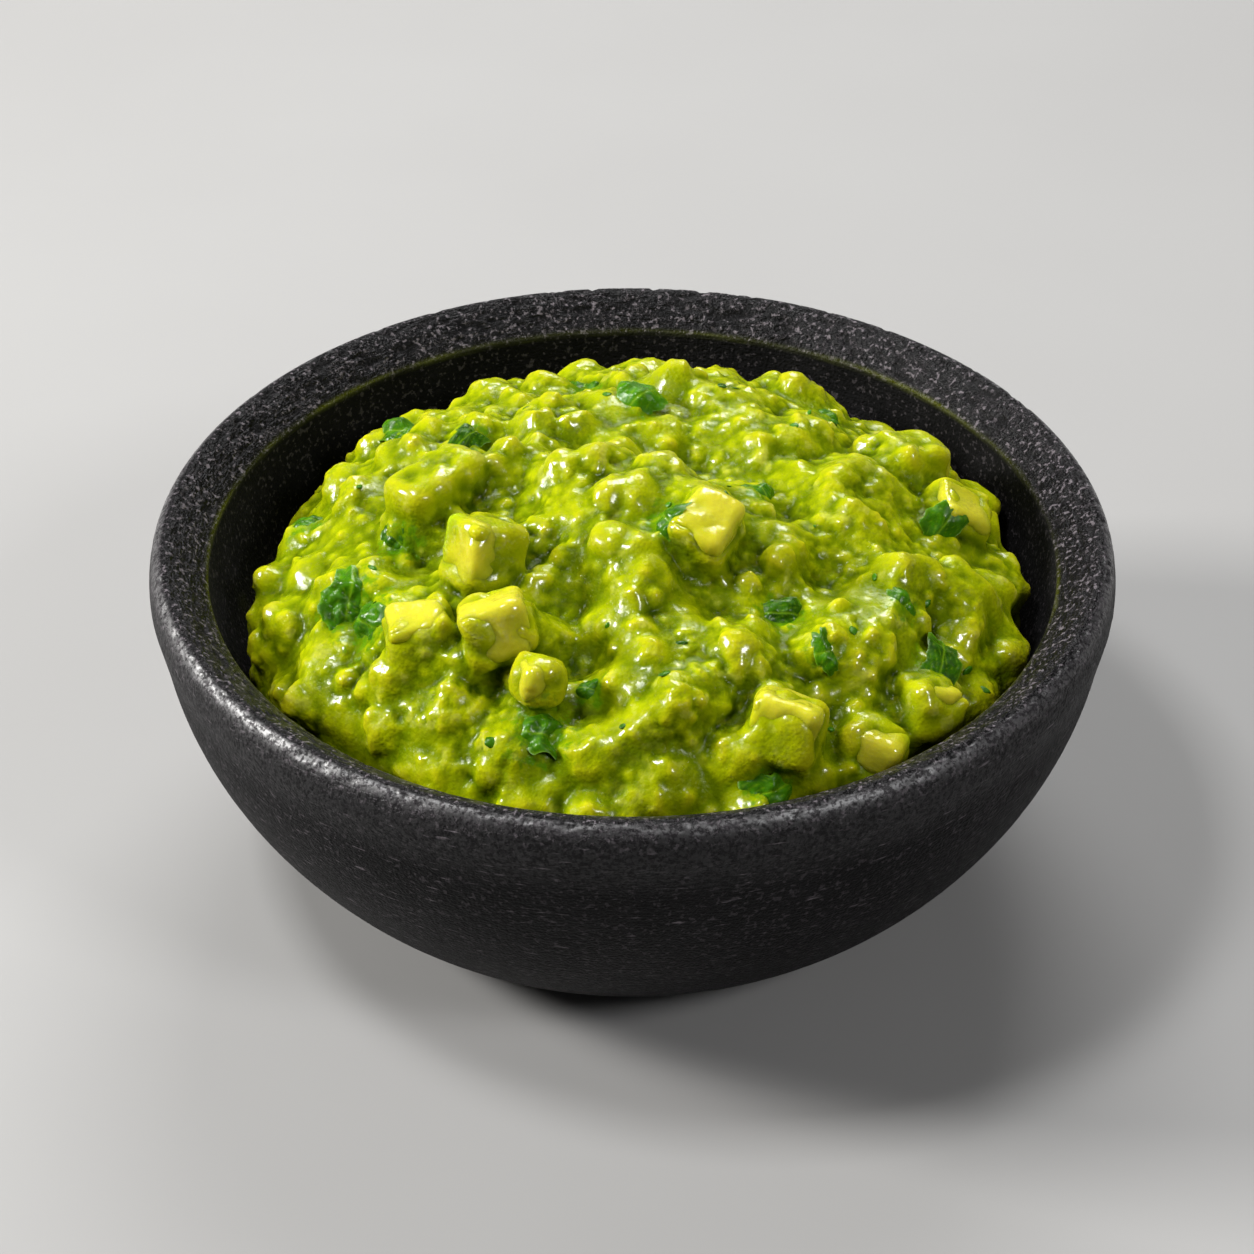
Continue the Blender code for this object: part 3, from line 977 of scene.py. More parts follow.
    def _closed(self, points: np.ndarray, rings: int) -> bpy.types.Mesh:
        """The bowl's skin, with its floor and its foot closed by fans.

        Args:
            points: The rings one after another, then the floor's and the foot's middle.
            rings: How many rings there are.

        Returns:
            The closed mesh, shaded smooth.
        """
        shape = bmesh.new()
        verts = [shape.verts.new(p) for p in points]
        afters = [*range(1, self.steps), 0]
        for ring in range(rings - 1):
            low, high = ring * self.steps, (ring + 1) * self.steps
            for step, after in enumerate(afters):
                shape.faces.new([verts[i] for i in (low + step, low + after, high + after, high + step)])
        last = (rings - 1) * self.steps
        for step, after in enumerate(afters):
            shape.faces.new((verts[step], verts[after], verts[-2]))
            shape.faces.new((verts[last + after], verts[last + step], verts[-1]))
        bmesh.ops.recalc_face_normals(shape, faces=shape.faces)
        for face in shape.faces:
            face.smooth = True
        return mesh_of(shape, "stone_bowl")


# ---------------------------------------------------------------------------
# The mash


@dataclass(frozen=True)
class LumpSize:
    """A sort of lump: how many, their radii, how deep they sit as shares of them, and how they lie."""

    count: int
    radii: tuple[float, float]
    sink: tuple[float, float]
    detail: int
    clustered: bool = False


@dataclass(frozen=True)
class DiceLie:
    """How a dice lies: how much mash clings to it, on which side most, and which side was under the skin."""

    share: float
    side: Vector
    under_skin: Vector


DICE = {
    "avocado_dice_1": DiceLie(0.66, Vector((0.9, 0.2, -0.3)), Vector((-0.8, 0.6, 0.05))),
    "avocado_dice_2": DiceLie(0.42, Vector((-0.6, -0.2, -0.7)), Vector((-0.3, 1.0, -0.4))),
    "avocado_dice_3": DiceLie(0.55, Vector((0.5, -0.4, -0.7)), Vector((-0.2, -0.8, -0.7))),
    "avocado_dice_4": DiceLie(0.36, Vector((-1.0, 0.1, -0.1)), Vector((-1.0, -0.2, -0.4))),
    "avocado_dice_5": DiceLie(0.52, Vector((-0.5, -0.5, -0.7)), Vector((-0.8, 0.2, -0.5))),
    "avocado_dice_6": DiceLie(0.28, Vector((-0.5, -0.3, -0.8)), Vector((0.8, 0.3, -0.5))),
    "avocado_dice_7": DiceLie(1.0, Vector((0.5, -0.5, -0.6)), Vector((0.5, -0.5, -0.6))),
    "avocado_dice_8": DiceLie(0.66, Vector((0.3, -0.2, -0.9)), Vector((0.9, 0.2, -0.4))),
    "avocado_dice_9": DiceLie(0.80, Vector((0.0, -0.3, -0.9)), Vector((0.2, 0.6, -0.9))),
    "avocado_dice_10": DiceLie(0.70, Vector((-0.3, 0.0, -0.9)), Vector((-0.6, -0.3, -0.8))),
    "avocado_dice_11": DiceLie(0.70, Vector((-0.5, 0.0, -0.8)), Vector((0.3, 0.9, -0.4))),
}


@dataclass
class AvocadoMash:
    """The mash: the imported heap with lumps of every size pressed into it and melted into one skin."""

    node: str = "guacamole"
    sizes: tuple[LumpSize, ...] = (
        LumpSize(120, (3.0 * MM, 4.6 * MM), (0.55, 0.95), 3),
        LumpSize(760, (1.5 * MM, 2.7 * MM), (0.35, 0.85), 3),
        LumpSize(3400, (0.75 * MM, 1.4 * MM), (0.10, 0.60), 2, clustered=True),
    )
    core_inset: float = 0.9 * MM
    voxel: float = 0.48 * MM
    most_triangles: int = 190_000
    smallest_lump: float = 0.6 * MM
    smoothing: int = 6
    crest_rounds: tuple[int, int] = (12, 70)
    crest_heights: tuple[float, float] = (0.28 * MM, 0.9 * MM)  # for each of the rounds
    eye: Vector = field(default_factory=lambda: Vector((0, 0, 18 * MM)))
    cut_height: float = 27.5 * MM
    wall_height: float = 34 * MM
    wall_fade: float = 4 * MM
    wall_reach: float = 1.016
    seed: int = 5
    film: tuple[float, float] = (-0.55 * MM, 0.80 * MM)  # where a dice is bare and where it is covered
    film_swell: tuple[float, float] = (3.2 * MM, 0.9 * MM)  # size and height
    cling_size: float = 3.8 * MM
    climb: float = 2.0 * MM
    climb_size: float = 3 * MM
    dips: tuple[tuple[Vector, float, float], ...] = (  # place, reach and depth
        (Vector((-32 * MM, -39 * MM, 55 * MM)), 5.0 * MM, 2.0 * MM),
        (Vector((-20 * MM, -41 * MM, 57 * MM)), 3.5 * MM, 1.4 * MM),
        (Vector((24 * MM, -55 * MM, 49 * MM)), 4.0 * MM, 1.5 * MM),
    )
    dice: dict[str, DiceLie] = field(default_factory=lambda: DICE)
    calm_size: float = 10 * MM
    rough_size: float = 11 * MM
    grain: tuple[float, float] = (1.9 * MM, 0.50 * MM)  # size and height
    wrinkles: tuple[float, float] = (1.5 * MM, 0.12 * MM)  # size and height
    dice_margin: tuple[float, float] = (0.3 * MM, 0.7 * MM)  # kept smooth, and eased in
    nodules: int = 90
    nodule_radii: tuple[float, float] = (0.6 * MM, 1.3 * MM)
    bank_height: float = 1.0 * MM
    bank_reach: float = 3.5 * MM
    finish: MashFinish = field(default_factory=MashFinish)

    def build(self, groups: EffectGroups, stains: list[tuple[Vector, float]]) -> bpy.types.Object:
        """Make the mash.

        Args:
            groups: The shared shader groups.
            stains: Places where herbs have bled into the mash, with the reach of each.

        Returns:
            The piece that stands for the heap's solid.
        """
        self.trees = {name: BVHTree.FromBMesh(welded_node(name)) for name in self.dice}
        core = self._core()
        self.skin = BVHTree.FromBMesh(core)
        heap = Heap()
        heap.add(*arrays_of(core))
        for name in self.dice:
            heap.add(*self._filmed(name))
        self._add_lumps(heap)
        self._add_nodules(heap)
        mesh = self._cut_below(remeshed(heap.mesh("mash"), self.voxel))
        points = relaxed(points_of(mesh), edges_of(mesh), self.smoothing)
        set_points(mesh, points)
        points = points + normals_of(mesh) * (self._fine_relief(points) * self._off_dice(points))[:, None]
        points = self._reach_wall(points)
        set_points(mesh, points)
        put_attribute(mesh, "height", self._heights(mesh, points))
        put_attribute(mesh, "stain", self._stain(points, stains))
        mesh = thinned(mesh, self.most_triangles)
        piece = dressed("avocado_mash", mesh, self.finish.material(groups))
        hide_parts(self.node)
        return piece

    def _core(self) -> bmesh.types.BMesh:
        """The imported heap, banked up against the dice and drawn in a little away from them."""
        shape = welded_node(self.node)
        shape.normal_update()
        for vert in shape.verts:
            if vert.co.z > self.wall_height:
                near = min(tree.find_nearest(vert.co)[3] for tree in self.trees.values())
                bank = self.bank_height * max(0, 1 - near / self.bank_reach) ** 2
                inset = self.core_inset * min(1, near / self.bank_reach)
                for place, reach, depth in self.dips:
                    inset += depth * math.exp(-(((vert.co - place).length / reach) ** 2))
                vert.co += (vert.co - self.eye).normalized() * bank - vert.normal * inset
        shape.normal_update()
        return shape

    def cover(self, name: str, points: np.ndarray, softness: float = 0.30) -> np.ndarray:
        """How far the mash covers a dice at points on it.

        Args:
            name: The dice's node.
            points: Places on the dice.
            softness: How slowly the mash thins out.

        Returns:
            From 0 where the dice is bare to 1 where the mash lies on it.
        """
        low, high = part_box(name)
        middle = np.array((low + high) / 2)
        lie = self.dice[name]
        reach = np.linalg.norm(np.array(high - low)) / 2
        towards = (points - middle) @ np.array(lie.side.normalized()) / reach
        salt = name_salt(name)
        cling = layered_noise(points, self.cling_size, 2, salt) * 0.42 + 0.5
        clinging = smooth_step(lie.share + 0.45 * towards - cling, -softness, softness)
        gaps = np.array([self.skin.find_nearest(Vector(point))[3] for point in points])
        climb = self.climb * (1 + 0.7 * layered_noise(points, self.climb_size, 2, salt + 3))
        return np.maximum(clinging, 1 - smooth_step((gaps - climb) / MM, -2.2 * softness, 2.2 * softness))

    def _filmed(self, name: str) -> Arrays:
        """A dice grown where mash clings to it and shrunk where it is bare.

        Args:
            name: The dice's node.

        Returns:
            Its points and triangles.
        """
        mesh = remeshed(mesh_of(welded_node(name), name), self.voxel * 1.2)
        points = points_of(mesh)
        covered = self.cover(name, points)
        size, height = self.film_swell
        uneven = layered_noise(points, size, 2, 7) * height * max(0, self.dice[name].share - 0.5)
        offset = self.film[0] + (self.film[1] - self.film[0]) * covered + uneven
        points = points + normals_of(mesh) * offset[:, None]
        set_points(mesh, points)
        return triangles_of(mesh)

    def _spots(self, size: LumpSize, draw: random.Random) -> list[tuple[Vector, Vector]]:
        """Places on the heap's skin with their normals: spread evenly, the small lumps at random."""
        golden = math.pi * (3 - math.sqrt(5))
        found = []
        for i in range(size.count):
            rise = draw.uniform(0.02, 1) if size.clustered else (i + 0.5) / size.count
            turn = i * golden + draw.uniform(-0.5, 0.5)
            flat = math.sqrt(1 - rise * rise)
            way = Vector((flat * math.cos(turn), flat * math.sin(turn), rise))
            spot, normal, _, _ = self.skin.ray_cast(self.eye + way * 0.2, -way)
            if spot is not None and spot.z > self.wall_height:
                found.append((spot, normal))
        return found

    def _add_lumps(self, heap: Heap) -> None:
        """Press lumps of every size into the heap's skin, beside the dice but not over them."""
        draw = random.Random(self.seed)
        for size in self.sizes:
            forms = self._lump_forms(size.detail, draw)
            spots = self._spots(size, draw)
            calm = layered_noise(np.array([spot for spot, _ in spots]), self.calm_size, 2, 13)
            for (spot, normal), calmness in zip(spots, calm):
                if size.clustered and calmness > draw.uniform(-0.1, 0.5):
                    continue
                radius = draw.uniform(*size.radii)
                spot = spot - normal * radius * draw.uniform(*size.sink)
                radius = min(radius, self._room_by_dice(spot, draw) * 1.05)
                if radius >= self.smallest_lump:
                    self._add_lump(heap, spot, radius, draw.choice(forms), draw)

    def _add_nodules(self, heap: Heap) -> None:
        """Small lumps in the mash that clings to the dice."""
        draw = random.Random(self.seed + 1)
        forms = self._lump_forms(2, draw)
        for name, tree in self.trees.items():
            low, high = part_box(name)
            middle, reach = (low + high) / 2, (high - low).length
            found = []
            for _ in range(self.nodules):
                way = Vector([draw.gauss(0, 1) for _ in range(3)]).normalized()
                spot, normal, _, _ = tree.ray_cast(middle + way * reach, -way)
                if spot is not None:
                    found.append((spot, normal))
            covered = self.cover(name, np.array([spot for spot, _ in found]), 0.3)
            for (spot, normal), share in zip(found, covered):
                if share > draw.uniform(0.5, 1.1) and self.dice[name].share > draw.uniform(0.45, 0.8):
                    radius = draw.uniform(*self.nodule_radii) * (0.6 + self.dice[name].share)
                    spot = spot - normal * radius * draw.uniform(0.0, 0.5)
                    self._add_lump(heap, spot, radius, draw.choice(forms), draw)

    @staticmethod
    def _add_lump(heap: Heap, spot: Vector, radius: float, form: Arrays, draw: random.Random) -> None:
        """Add one lump, squashed and turned by chance."""
        points, faces = form
        stretch = np.array([draw.uniform(0.8, 1.35), draw.uniform(0.8, 1.1), draw.uniform(0.7, 0.95)])
        heap.add((points * stretch) @ random_turn(draw).T * radius + np.array(spot), faces)

    @staticmethod
    def _lump_forms(detail: int, draw: random.Random) -> list[Arrays]:
        """A dozen unlike lumps of radius about 1, each a ball pushed about by noise."""
        points, faces = ball(detail)
        forms = []
        for _ in range(12):
            salt = draw.randrange(1000)
            grown = 1 + 0.20 * layered_noise(points + salt, 1.1, 2, salt)
            flats = 1 - 0.25 * np.clip(np.abs(points) - 0.62, 0, None).sum(axis=1)
            forms.append((points * (grown * flats)[:, None], faces))
        return forms

    def _room_by_dice(self, spot: Vector, draw: random.Random) -> float:
        """How large a lump here may be without hiding a dice that shows."""
        room = 1.0
        for name, tree in self.trees.items():
            near, normal, _, gap = tree.find_nearest(spot)
            if (spot - near).dot(normal) < 0:
                return 0.0
            if draw.random() > self.dice[name].share - 0.3:
                room = min(room, gap)
        return room

    def _off_dice(self, points: np.ndarray) -> np.ndarray:
        """How far each point is clear of the dice: 0 on one and 1 well away from all."""
        clear = np.ones(len(points))
        bare, reach = self.dice_margin
        for name, tree in self.trees.items():
            low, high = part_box(name)
            near = np.all((points > np.array(low) - reach) & (points < np.array(high) + reach), axis=1)
            for i in np.nonzero(near)[0]:
                spot, normal, _, gap = tree.find_nearest(Vector(points[i]))
                outside = (Vector(points[i]) - spot).dot(normal) > 0
                clear[i] = min(clear[i], max(0, gap - bare) / reach if outside else 0.0)
        return clear

    def _cut_below(self, mesh: bpy.types.Mesh) -> bpy.types.Mesh:
        """Take off the hidden part of the mash low in the bowl, and close it with a flat face."""
        shape = bmesh.new()
        shape.from_mesh(mesh)
        geometry = [*shape.verts, *shape.edges, *shape.faces]
        plane = Vector((0, 0, self.cut_height))
        bmesh.ops.bisect_plane(shape, geom=geometry, plane_co=plane, plane_no=(0, 0, 1), clear_inner=True)
        bmesh.ops.holes_fill(shape, edges=[e for e in shape.edges if e.is_boundary], sides=0)
        return mesh_of(shape, "mash")

    def _fine_relief(self, points: np.ndarray) -> np.ndarray:
        """Nodules and wrinkles too small to be lumps of their own, in patches."""
        rough = smooth_step(layered_noise(points, self.rough_size, 2, 31), -0.55, 0.35)
        distance, own = cell_distance(points, self.grain[0], 70)
        nodules = np.clip(0.62 - distance, 0, None) * (0.4 + own) * self.grain[1]
        wrinkles = (0.5 - np.abs(layered_noise(points, self.wrinkles[0], 2, 90))) * self.wrinkles[1]
        return (nodules + wrinkles) * (0.25 + 0.75 * rough)

    def _reach_wall(self, points: np.ndarray) -> np.ndarray:
        """Push the mash just into the bowl's wall where it meets it."""
        share = 1 - smooth_step(points[:, 2], self.wall_height - self.wall_fade, self.wall_height)
        moved = points.copy()
        moved[:, :2] *= (1 + (self.wall_reach - 1) * share)[:, None]
        return moved

    def _heights(self, mesh: bpy.types.Mesh, points: np.ndarray) -> np.ndarray:
        """How far each point stands out of the mash around it: 1 on a crest, -1 in a crease. The mash's
        finish paints shade and light by it.
        """
        edges = edges_of(mesh)
        normals = normals_of(mesh)
        total = np.zeros(len(points))
        for rounds, height in zip(self.crest_rounds, self.crest_heights):
            total += np.einsum("ij,ij->i", points - relaxed(points, edges, rounds), normals) / height * 0.5
        return np.clip(total, -1, 1)

    @staticmethod
    def _stain(points: np.ndarray, stains: list[tuple[Vector, float]]) -> np.ndarray:
        """How green the mash is at each point."""
        total = np.zeros(len(points))
        for place, reach in stains:
            gaps = np.linalg.norm(points - np.array(place), axis=1)
            total = np.maximum(total, np.exp(-((gaps / reach) ** 2)))
        return total


# ---------------------------------------------------------------------------
# The dice


@dataclass
class AvocadoDice:
    """One dice of avocado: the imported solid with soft, uneven cut faces."""

    node: str
    under_skin: Vector
    finish: bpy.types.Material
    voxel: float = 0.36 * MM
    growth: float = 0.25 * MM
    sink: float = 0.40 * MM
    swell_size: float = 4.5 * MM
    swell_height: float = 0.34 * MM
    nick_size: float = 1.6 * MM
    nick_depth: float = 0.25 * MM

    def build(self, mash: AvocadoMash) -> bpy.types.Object:
        """Make the dice.

        Args:
            mash: The mash it lies in, as built.

        Returns:
            The piece that stands for the dice's solid.
        """
        mesh = remeshed(mesh_of(welded_node(self.node), self.node), self.voxel)
        points = relaxed(points_of(mesh), edges_of(mesh), 1)
        set_points(mesh, points)
        salt = name_salt(self.node)
        soft = layered_noise(points, self.swell_size, 2, salt) * self.swell_height
        soft -= self.sink * mash.cover(self.node, points)
        nicks = np.clip(layered_noise(points, self.nick_size, 2, salt + 9) - 0.45, 0, None) * -self.nick_depth
        points = points + normals_of(mesh) * (soft + nicks + self.growth)[:, None]
        set_points(mesh, points)

        low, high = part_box(self.node)
        reach = np.array(high - low) / 2
        local = (points - np.array((low + high) / 2)) / reach
        skin = local @ np.array(self.under_skin.normalized())
        put_attribute(mesh, "skin", np.clip(0.45 + 0.5 * skin, 0, 1))
        put_attribute(mesh, "film", mash.cover(self.node, points, 0.60))
        piece = dressed(self.node.replace("avocado", "cut"), mesh, self.finish)
        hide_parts(self.node)
        return piece


# ---------------------------------------------------------------------------
# The herbs


@dataclass(frozen=True)
class HerbBit:
    """One chopped piece of herb, and how it lies on the mash. All its lengths are in millimetres."""

    x: float
    y: float
    z: float
    length: float
    width: float
    spin: float = 0.0
    lean: float = 0.0
    curl: float = 0.25
    lift: float = 0.1
    crumple: float = 1.8
    bleed: float = 2.6
    tone: float = 0.7
    show: float = 0.35

    def landing(self, ground: BVHTree) -> tuple[Vector, Vector]:
        """Where the piece comes to lie, dropped on the heap from the front and above.

        Args:
            ground: What it lands on.

        Returns:
            The place and the ground's normal there.
        """
        start = Vector((self.x * MM, self.y * MM, self.z * MM))
        fall = Vector((0, 0.8, -0.6))
        spot, normal, _, _ = ground.ray_cast(start - fall * 0.05, fall)
        return (start, Vector((0, 0, 1))) if spot is None else (spot, normal)


def laid(up: Vector, own: Euler) -> np.ndarray:
    """The matrix that turns a thing by its own turn and then lays it flat to a direction."""
    return np.array(up.to_track_quat("Z", "Y").to_matrix() @ own.to_matrix())


@dataclass
class ChoppedHerbs:
    """The chopped herbs: crumpled bits of leaf that lie in the mash."""

    bits: tuple[HerbBit, ...] = ()
    rings: int = 13
    spokes: int = 44
    thickness: float = 0.5 * MM
    fold_size: float = 2.4 * MM
    vein_depth: float = 0.08 * MM
    seed: int = 21
    finish: HerbFinish = field(default_factory=HerbFinish)

    def form(self, bit: HerbBit, draw: random.Random) -> tuple[np.ndarray, ...]:
        """The flat-grown shape of one piece, top and under side, around its own middle.

        Args:
            bit: The piece.
            draw: The source of its unevenness.

        Returns:
            Its points, its triangles, and for each point how near it is to a vein, and its tone.
        """
        phases = [draw.uniform(0, 2 * math.pi) for _ in range(4)]
        points = [(0.0, 0.0)]
        for ring in range(1, self.rings + 1):
            share = ring / self.rings
            for spoke in range(self.spokes):
                turn = 2 * math.pi * spoke / self.spokes
                edge = (abs(math.cos(turn)) ** 3 + abs(math.sin(turn)) ** 3) ** (-1 / 3)
                jags = 0.12 * math.cos(3 * turn + phases[0]) + 0.08 * math.cos(5 * turn + phases[1])
                jags += 0.06 * math.cos(9 * turn + phases[2]) + 0.04 * math.cos(14 * turn + phases[3])
                reach = share * edge * (1 + jags * share)
                points.append((reach * math.cos(turn), reach * math.sin(turn)))
        flat = np.array(points)
        side = np.abs(((flat[:, 1] * 3.2 - flat[:, 0] * 1.6 + phases[0]) % 1.0) - 0.5)
        veins = np.maximum(np.exp(-((flat[:, 1] / 0.06) ** 2)), 0.6 * np.exp(-((side / 0.07) ** 2)))
        edge_share = np.concatenate([[0], np.repeat(np.arange(1, self.rings + 1) / self.rings, self.spokes)])
        length = bit.length * MM
        x = flat[:, 0] * length / 2
        y = flat[:, 1] * (bit.width * MM) / 2
        plane = np.stack([x, y, np.zeros(len(x))], axis=1) + draw.uniform(0, 1)
        z = -bit.curl * (x**2 + 0.5 * y**2) / length * 2
        folds = layered_noise(plane, self.fold_size, 2, draw.randrange(999))
        z += bit.crumple * MM * 0.5 * folds - self.vein_depth * veins
        half = self.thickness / 2 * (1 - edge_share**6)
        sides = [np.stack([x, y, level], axis=1) for level in (z + half, z - half)]
        veins = np.maximum(veins, smooth_step(edge_share, 0.88, 1.0) * 0.5)
        faces = self._fan()
        count = len(x)
        faces = np.concatenate([faces, faces[:, ::-1] + count, self._edge(count)])
        return np.concatenate(sides), faces, np.tile(veins, 2), np.full(2 * count, bit.tone)

    def _fan(self) -> np.ndarray:
        """The triangles of one side."""
        faces = []
        for spoke in range(self.spokes):
            after = (spoke + 1) % self.spokes
            faces.append((0, 1 + spoke, 1 + after))
            for ring in range(self.rings - 1):
                a = 1 + ring * self.spokes
                b = a + self.spokes
                faces.append((a + spoke, b + spoke, b + after))
                faces.append((a + spoke, b + after, a + after))
        return np.array(faces)

    def _edge(self, count: int) -> np.ndarray:
        """The triangles that join the two sides along the rim."""
        first = 1 + (self.rings - 1) * self.spokes
        faces = []
        for spoke in range(self.spokes):
            after = (spoke + 1) % self.spokes
            a, b = first + spoke, first + after
            faces.append((a, a + count, b + count))
            faces.append((a, b + count, b))
        return np.array(faces)

    def build(self, groups: EffectGroups, ground: BVHTree) -> bpy.types.Object:
        """Lay the pieces on the mash.

        Args:
            groups: The shared shader groups.
            ground: The mash and the dice, as laid.

        Returns:
            One piece with all the herbs.
        """
        draw = random.Random(self.seed)
        heap = Heap()
        veins, tones = [], []
        for bit in self.bits:
            spot, normal = bit.landing(ground)
            points, faces, vein, tone = self.form(bit, draw)
            facing = (normal + bit.show * Vector((0, -0.8, 0.6))).normalized()
            own = Euler((math.radians(bit.lean), 0, math.radians(bit.spin)))
            heap.add(points @ laid(facing, own).T + np.array(spot + facing * (bit.lift * MM)), faces)
            veins.append(vein)
            tones.append(tone)
        mesh = heap.mesh("chopped_herbs")
        put_attribute(mesh, "vein", np.concatenate(veins))
        put_attribute(mesh, "tone", np.concatenate(tones))
        piece = dressed("chopped_herbs", mesh, self.finish.material(groups))
        return piece


@dataclass
class HerbFlecks:
    """Crumbs of herb, thinly strewn over the mash and thicker around the larger pieces."""

    count: int = 44
    sizes: tuple[float, float] = (0.5 * MM, 1.1 * MM)
    gather: float = 5 * MM
    spread: float = 60 * MM
    lowest: float = 36 * MM
    off_dice: float = 1 * MM
    seed: int = 8

    def build(
        self, material: bpy.types.Material, ground: BVHTree, near: list[Vector], dice: list[BVHTree]
    ) -> bpy.types.Object:
        """Strew the crumbs.

        Args:
            material: The herbs' material.
            ground: The mash and the dice, as laid.
            near: Places with more crumbs around them.
            dice: The dice, on which no crumbs lie.

        Returns:
            One piece with all the crumbs.
        """
        draw = random.Random(self.seed)
        form, faces = ball(2)
        heap = Heap()
        tones = []
        for i in range(self.count):
            if i % 2:
                spot = draw.choice(near) + Vector((draw.gauss(0, self.gather), draw.gauss(0, self.gather), 0))
            else:
                far = self.spread * math.sqrt(draw.random())
                turn = draw.uniform(0, 2 * math.pi)
                spot = Vector((far * math.cos(turn), far * math.sin(turn), 0))
            place, normal, _, _ = ground.ray_cast(Vector((spot.x, spot.y, 0.2)), Vector((0, 0, -1)))
            if place is None or place.z < self.lowest:
                continue
            if min(tree.find_nearest(place)[3] for tree in dice) < self.off_dice:
                continue
            size = draw.uniform(*self.sizes)
            salt = draw.randrange(1000)
            shape = form * (1 + 0.35 * layered_noise(form + salt, 0.8, 1, salt))[:, None]
            shape = shape * np.array([size, size * draw.uniform(0.4, 0.8), size * 0.22])
            own = Euler((draw.uniform(-0.4, 0.4), draw.uniform(-0.4, 0.4), draw.uniform(0, 6.3)))
            heap.add(shape @ laid(normal, own).T + np.array(place), faces)
            tones.append(np.full(len(form), draw.uniform(0.2, 1.3)))
        mesh = heap.mesh("herb_flecks")
        put_attribute(mesh, "tone", np.concatenate(tones))
        put_attribute(mesh, "vein", np.zeros(heap.count))
        piece = dressed("herb_flecks", mesh, material)
        return piece


# ---------------------------------------------------------------------------
# Light, floor and camera


@dataclass(frozen=True)
class SoftBox:
    """A square lamp that points at the bowl."""

    name: str
    place: tuple[float, float, float]
    width: float
    power: float
    colour: Colour = (1.0, 1.0, 1.0)


@dataclass
class Studio:
    """A plain pale table, soft lamps and the camera."""

    target: Vector = field(default_factory=lambda: Vector((0, 0, 30 * MM)))
    distance: float = 0.5
    elevation: float = 36.86
    lens: float = 89.4
    shift: tuple[float, float] = (-0.0044, 0.032)
    lamps: tuple[SoftBox, ...] = (
        SoftBox("lamp_left", (-1.05, 0.05, 0.60), 0.26, 19.5, (1.0, 0.985, 0.96)),
        SoftBox("lamp_top", (-0.42, -0.05, 1.10), 0.22, 7.5),
        SoftBox("lamp_back", (0.10, 0.85, 0.85), 0.62, 10.0),
        SoftBox("lamp_right", (0.70, -0.60, 0.80), 0.26, 5.5, (0.99, 0.99, 1.0)),
    )
    sky: float = 0.05
    floor_finish: FloorFinish = field(default_factory=FloorFinish)

    def build(self, groups: EffectGroups) -> None:
        """Lay the table, hang the lamps and set the camera."""
        self._table(groups)
        for lamp in self.lamps:
            self._hang(lamp)
        self._world()
        self._camera()

    def _table(self, groups: EffectGroups) -> None:
        """A wide flat table under the bowl."""
        shape = bmesh.new()
        bmesh.ops.create_grid(shape, x_segments=2, y_segments=2, size=3.0)
        mesh = mesh_of(shape, "table")
        mesh.materials.append(self.floor_finish.material(groups))
        table = new_piece("table", mesh)

    def _hang(self, lamp: SoftBox) -> None:
        """One lamp, turned to the bowl."""
        light = bpy.data.lights.new(lamp.name, "AREA")
        light.shape = "SQUARE"
        light.size = lamp.width
        light.energy = lamp.power
        light.color = lamp.colour
        self._aimed(light, Vector(lamp.place))

    def _world(self) -> None:
        """An even pale surrounding light."""
        world = bpy.data.worlds.new("studio")
        world.use_nodes = True
        background = world.node_tree.nodes["Background"]
        background.inputs["Color"].default_value = (1.0, 1.0, 1.0, 1)
        background.inputs["Strength"].default_value = self.sky
        bpy.context.scene.world = world
        bpy.context.scene.view_settings.view_transform = "Standard"

    def _camera(self) -> None:
        """The camera, looking down at the bowl from its front."""
        camera = bpy.data.cameras.new("camera")
        camera.lens = self.lens
        camera.shift_x, camera.shift_y = self.shift
        camera.clip_start = 0.01
        down = math.radians(self.elevation)
        place = self.target + self.distance * Vector((0, -math.cos(down), math.sin(down)))
        bpy.context.scene.camera = self._aimed(camera, place)

    def _aimed(self, data: bpy.types.ID, place: Vector) -> bpy.types.Object:
        """A lamp or camera at this place, turned to the bowl."""
        obj = new_piece(data.name, data)
        obj.location = place
        obj.rotation_euler = (self.target - obj.location).to_track_quat("-Z", "Y").to_euler()
        return obj


# ---------------------------------------------------------------------------
# The whole


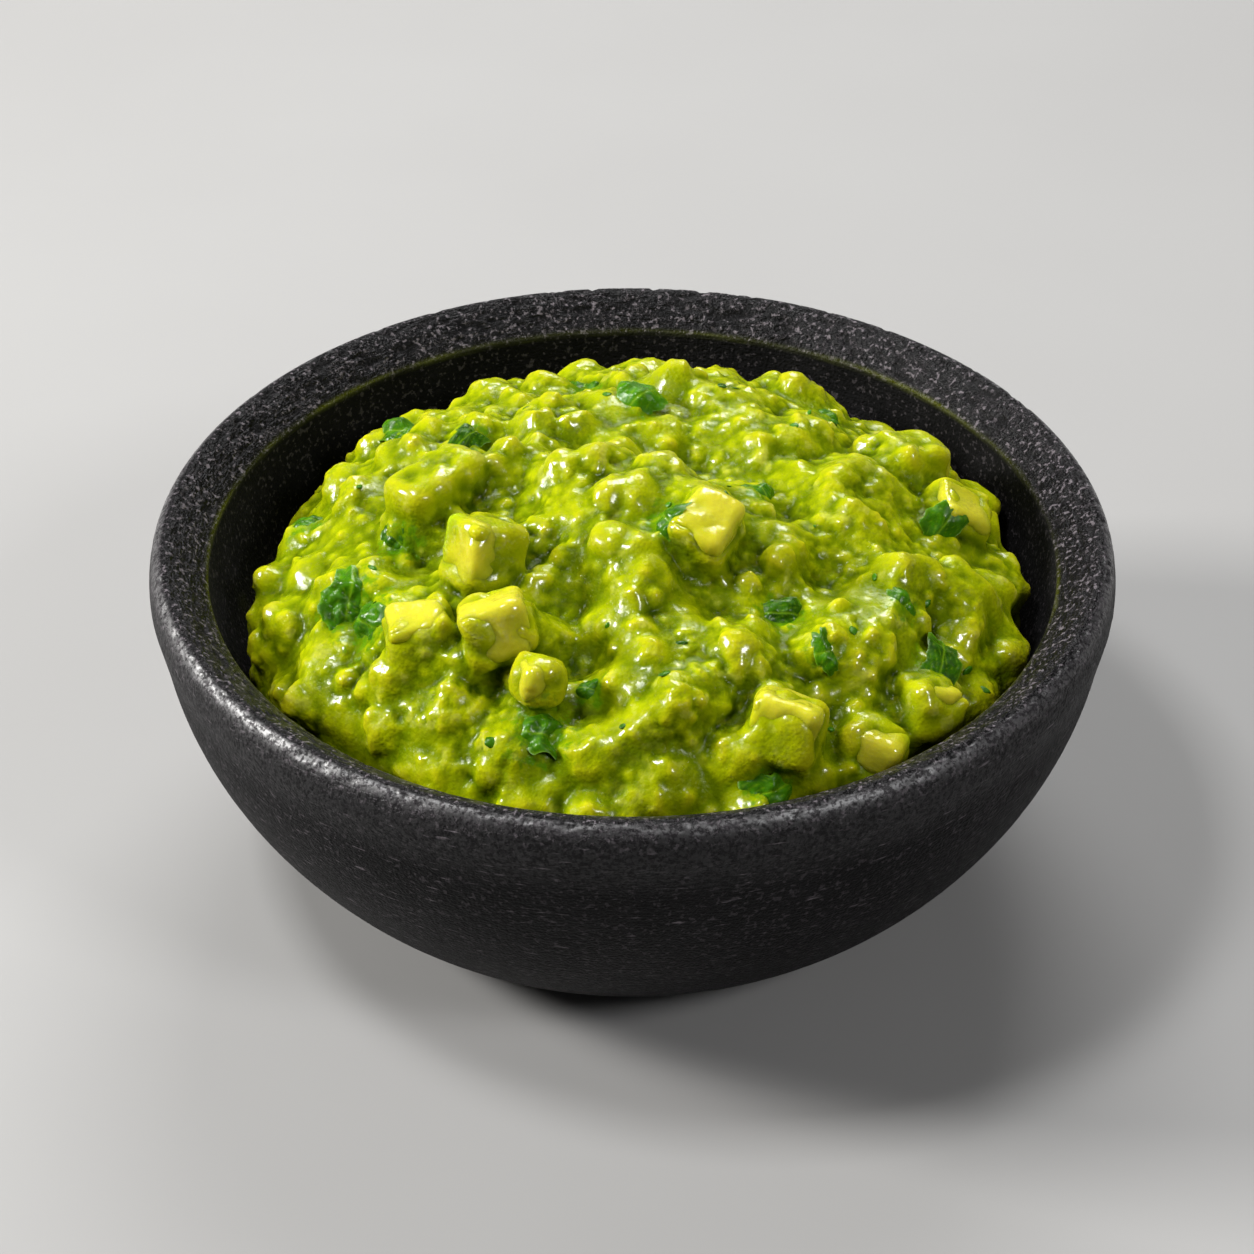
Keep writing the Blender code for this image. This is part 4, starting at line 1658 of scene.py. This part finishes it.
HERBS = (
    HerbBit(1.2, 24.7, 64.9, 7.5, 7.5, spin=30, curl=0.6, lift=1.6, tone=1.3, show=1.6),
    HerbBit(22.1, -29.6, 61.8, 8.4, 5.0, spin=-15, lift=0.7, crumple=1.2, tone=0.1),
    HerbBit(48.2, -0.7, 57.7, 7.5, 6.2, spin=60, lean=20, lift=0.8, crumple=0.8),
    HerbBit(45.6, -30.1, 53.0, 9.5, 6.0, spin=35, lift=0.6, crumple=1.0, tone=0.2),
    HerbBit(19.4, -54.4, 48.5, 9.0, 5.5, spin=5, lean=15, curl=0.3, lift=0.9),
    HerbBit(-42.8, -19.5, 57.0, 10.0, 8.0, spin=70, lift=0.5, crumple=2.6, bleed=4.5),
    HerbBit(-39.4, -25.0, 57.0, 9.0, 7.0, spin=20, lift=0.5, crumple=2.6, bleed=4.5),
    HerbBit(-35.7, -9.7, 61.2, 7.0, 4.8, spin=-40, curl=0.5, lift=0.4, tone=0.2),
    HerbBit(19.5, -2.6, 65.8, 6.0, 4.4, spin=60, curl=0.4, lift=0.4),
    HerbBit(40.7, -22.3, 58.3, 3.6, 7.0, curl=0.4, crumple=1.4),
    HerbBit(-13.2, -49.1, 54.6, 8.0, 6.5, spin=-30, curl=0.4, crumple=2.4, bleed=4.5),
    HerbBit(-37.8, 27.6, 57.4, 7.5, 5.5, spin=15, curl=0.4, lift=0.4),
    HerbBit(-25.7, 16.2, 63.4, 7.5, 4.8, spin=-20, curl=0.4, lift=0.4, tone=0.2),
    HerbBit(5.2, -11.8, 66.3, 4.6, 7.4, spin=10, curl=0.4, bleed=4),
    HerbBit(28.0, -35.0, 59.0, 3.0, 7.0, spin=12, crumple=1.4),
    HerbBit(-6.1, -43.6, 58.6, 4.4, 3.6, spin=12, curl=0.4),
    HerbBit(32, 34, 56, 6.2, 5.0, spin=-40, curl=0.5),
    HerbBit(-8, 48, 52, 6.5, 5.4, spin=75, curl=0.4),
    HerbBit(-52, 9, 52, 5.6, 4.4, spin=100, curl=0.4),
)


def report(piece: bpy.types.Object) -> bpy.types.Object:
    """Say that a piece is built, and hand it on."""
    log.info("%s: %d faces", piece.name, len(piece.data.polygons))
    return piece


def main() -> None:
    """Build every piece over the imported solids, then the studio."""
    logging.basicConfig(level=logging.INFO, format="%(message)s")
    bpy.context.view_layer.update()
    groups = EffectGroups()
    report(StoneBowl().build(groups))

    solid_skin = BVHTree.FromBMesh(welded_node("guacamole"))
    stains = [(bit.landing(solid_skin)[0], bit.bleed * MM + bit.length * MM / 4) for bit in HERBS]
    mash = AvocadoMash()
    heap = report(mash.build(groups, stains))
    flesh = FleshFinish().material(groups)
    dice = [report(AvocadoDice(name, lie.under_skin, flesh).build(mash)) for name, lie in DICE.items()]

    laid_so_far = Heap()
    for piece in (heap, *dice):
        laid_so_far.add(*triangles_of(piece.data))
    ground = laid_so_far.tree()
    herbs = report(ChoppedHerbs(HERBS).build(groups, ground))
    near = [spot for spot, _ in stains]
    report(HerbFlecks().build(herbs.data.materials[0], ground, near, list(mash.trees.values())))

    Studio().build(groups)


if __name__ == "__main__":
    main()
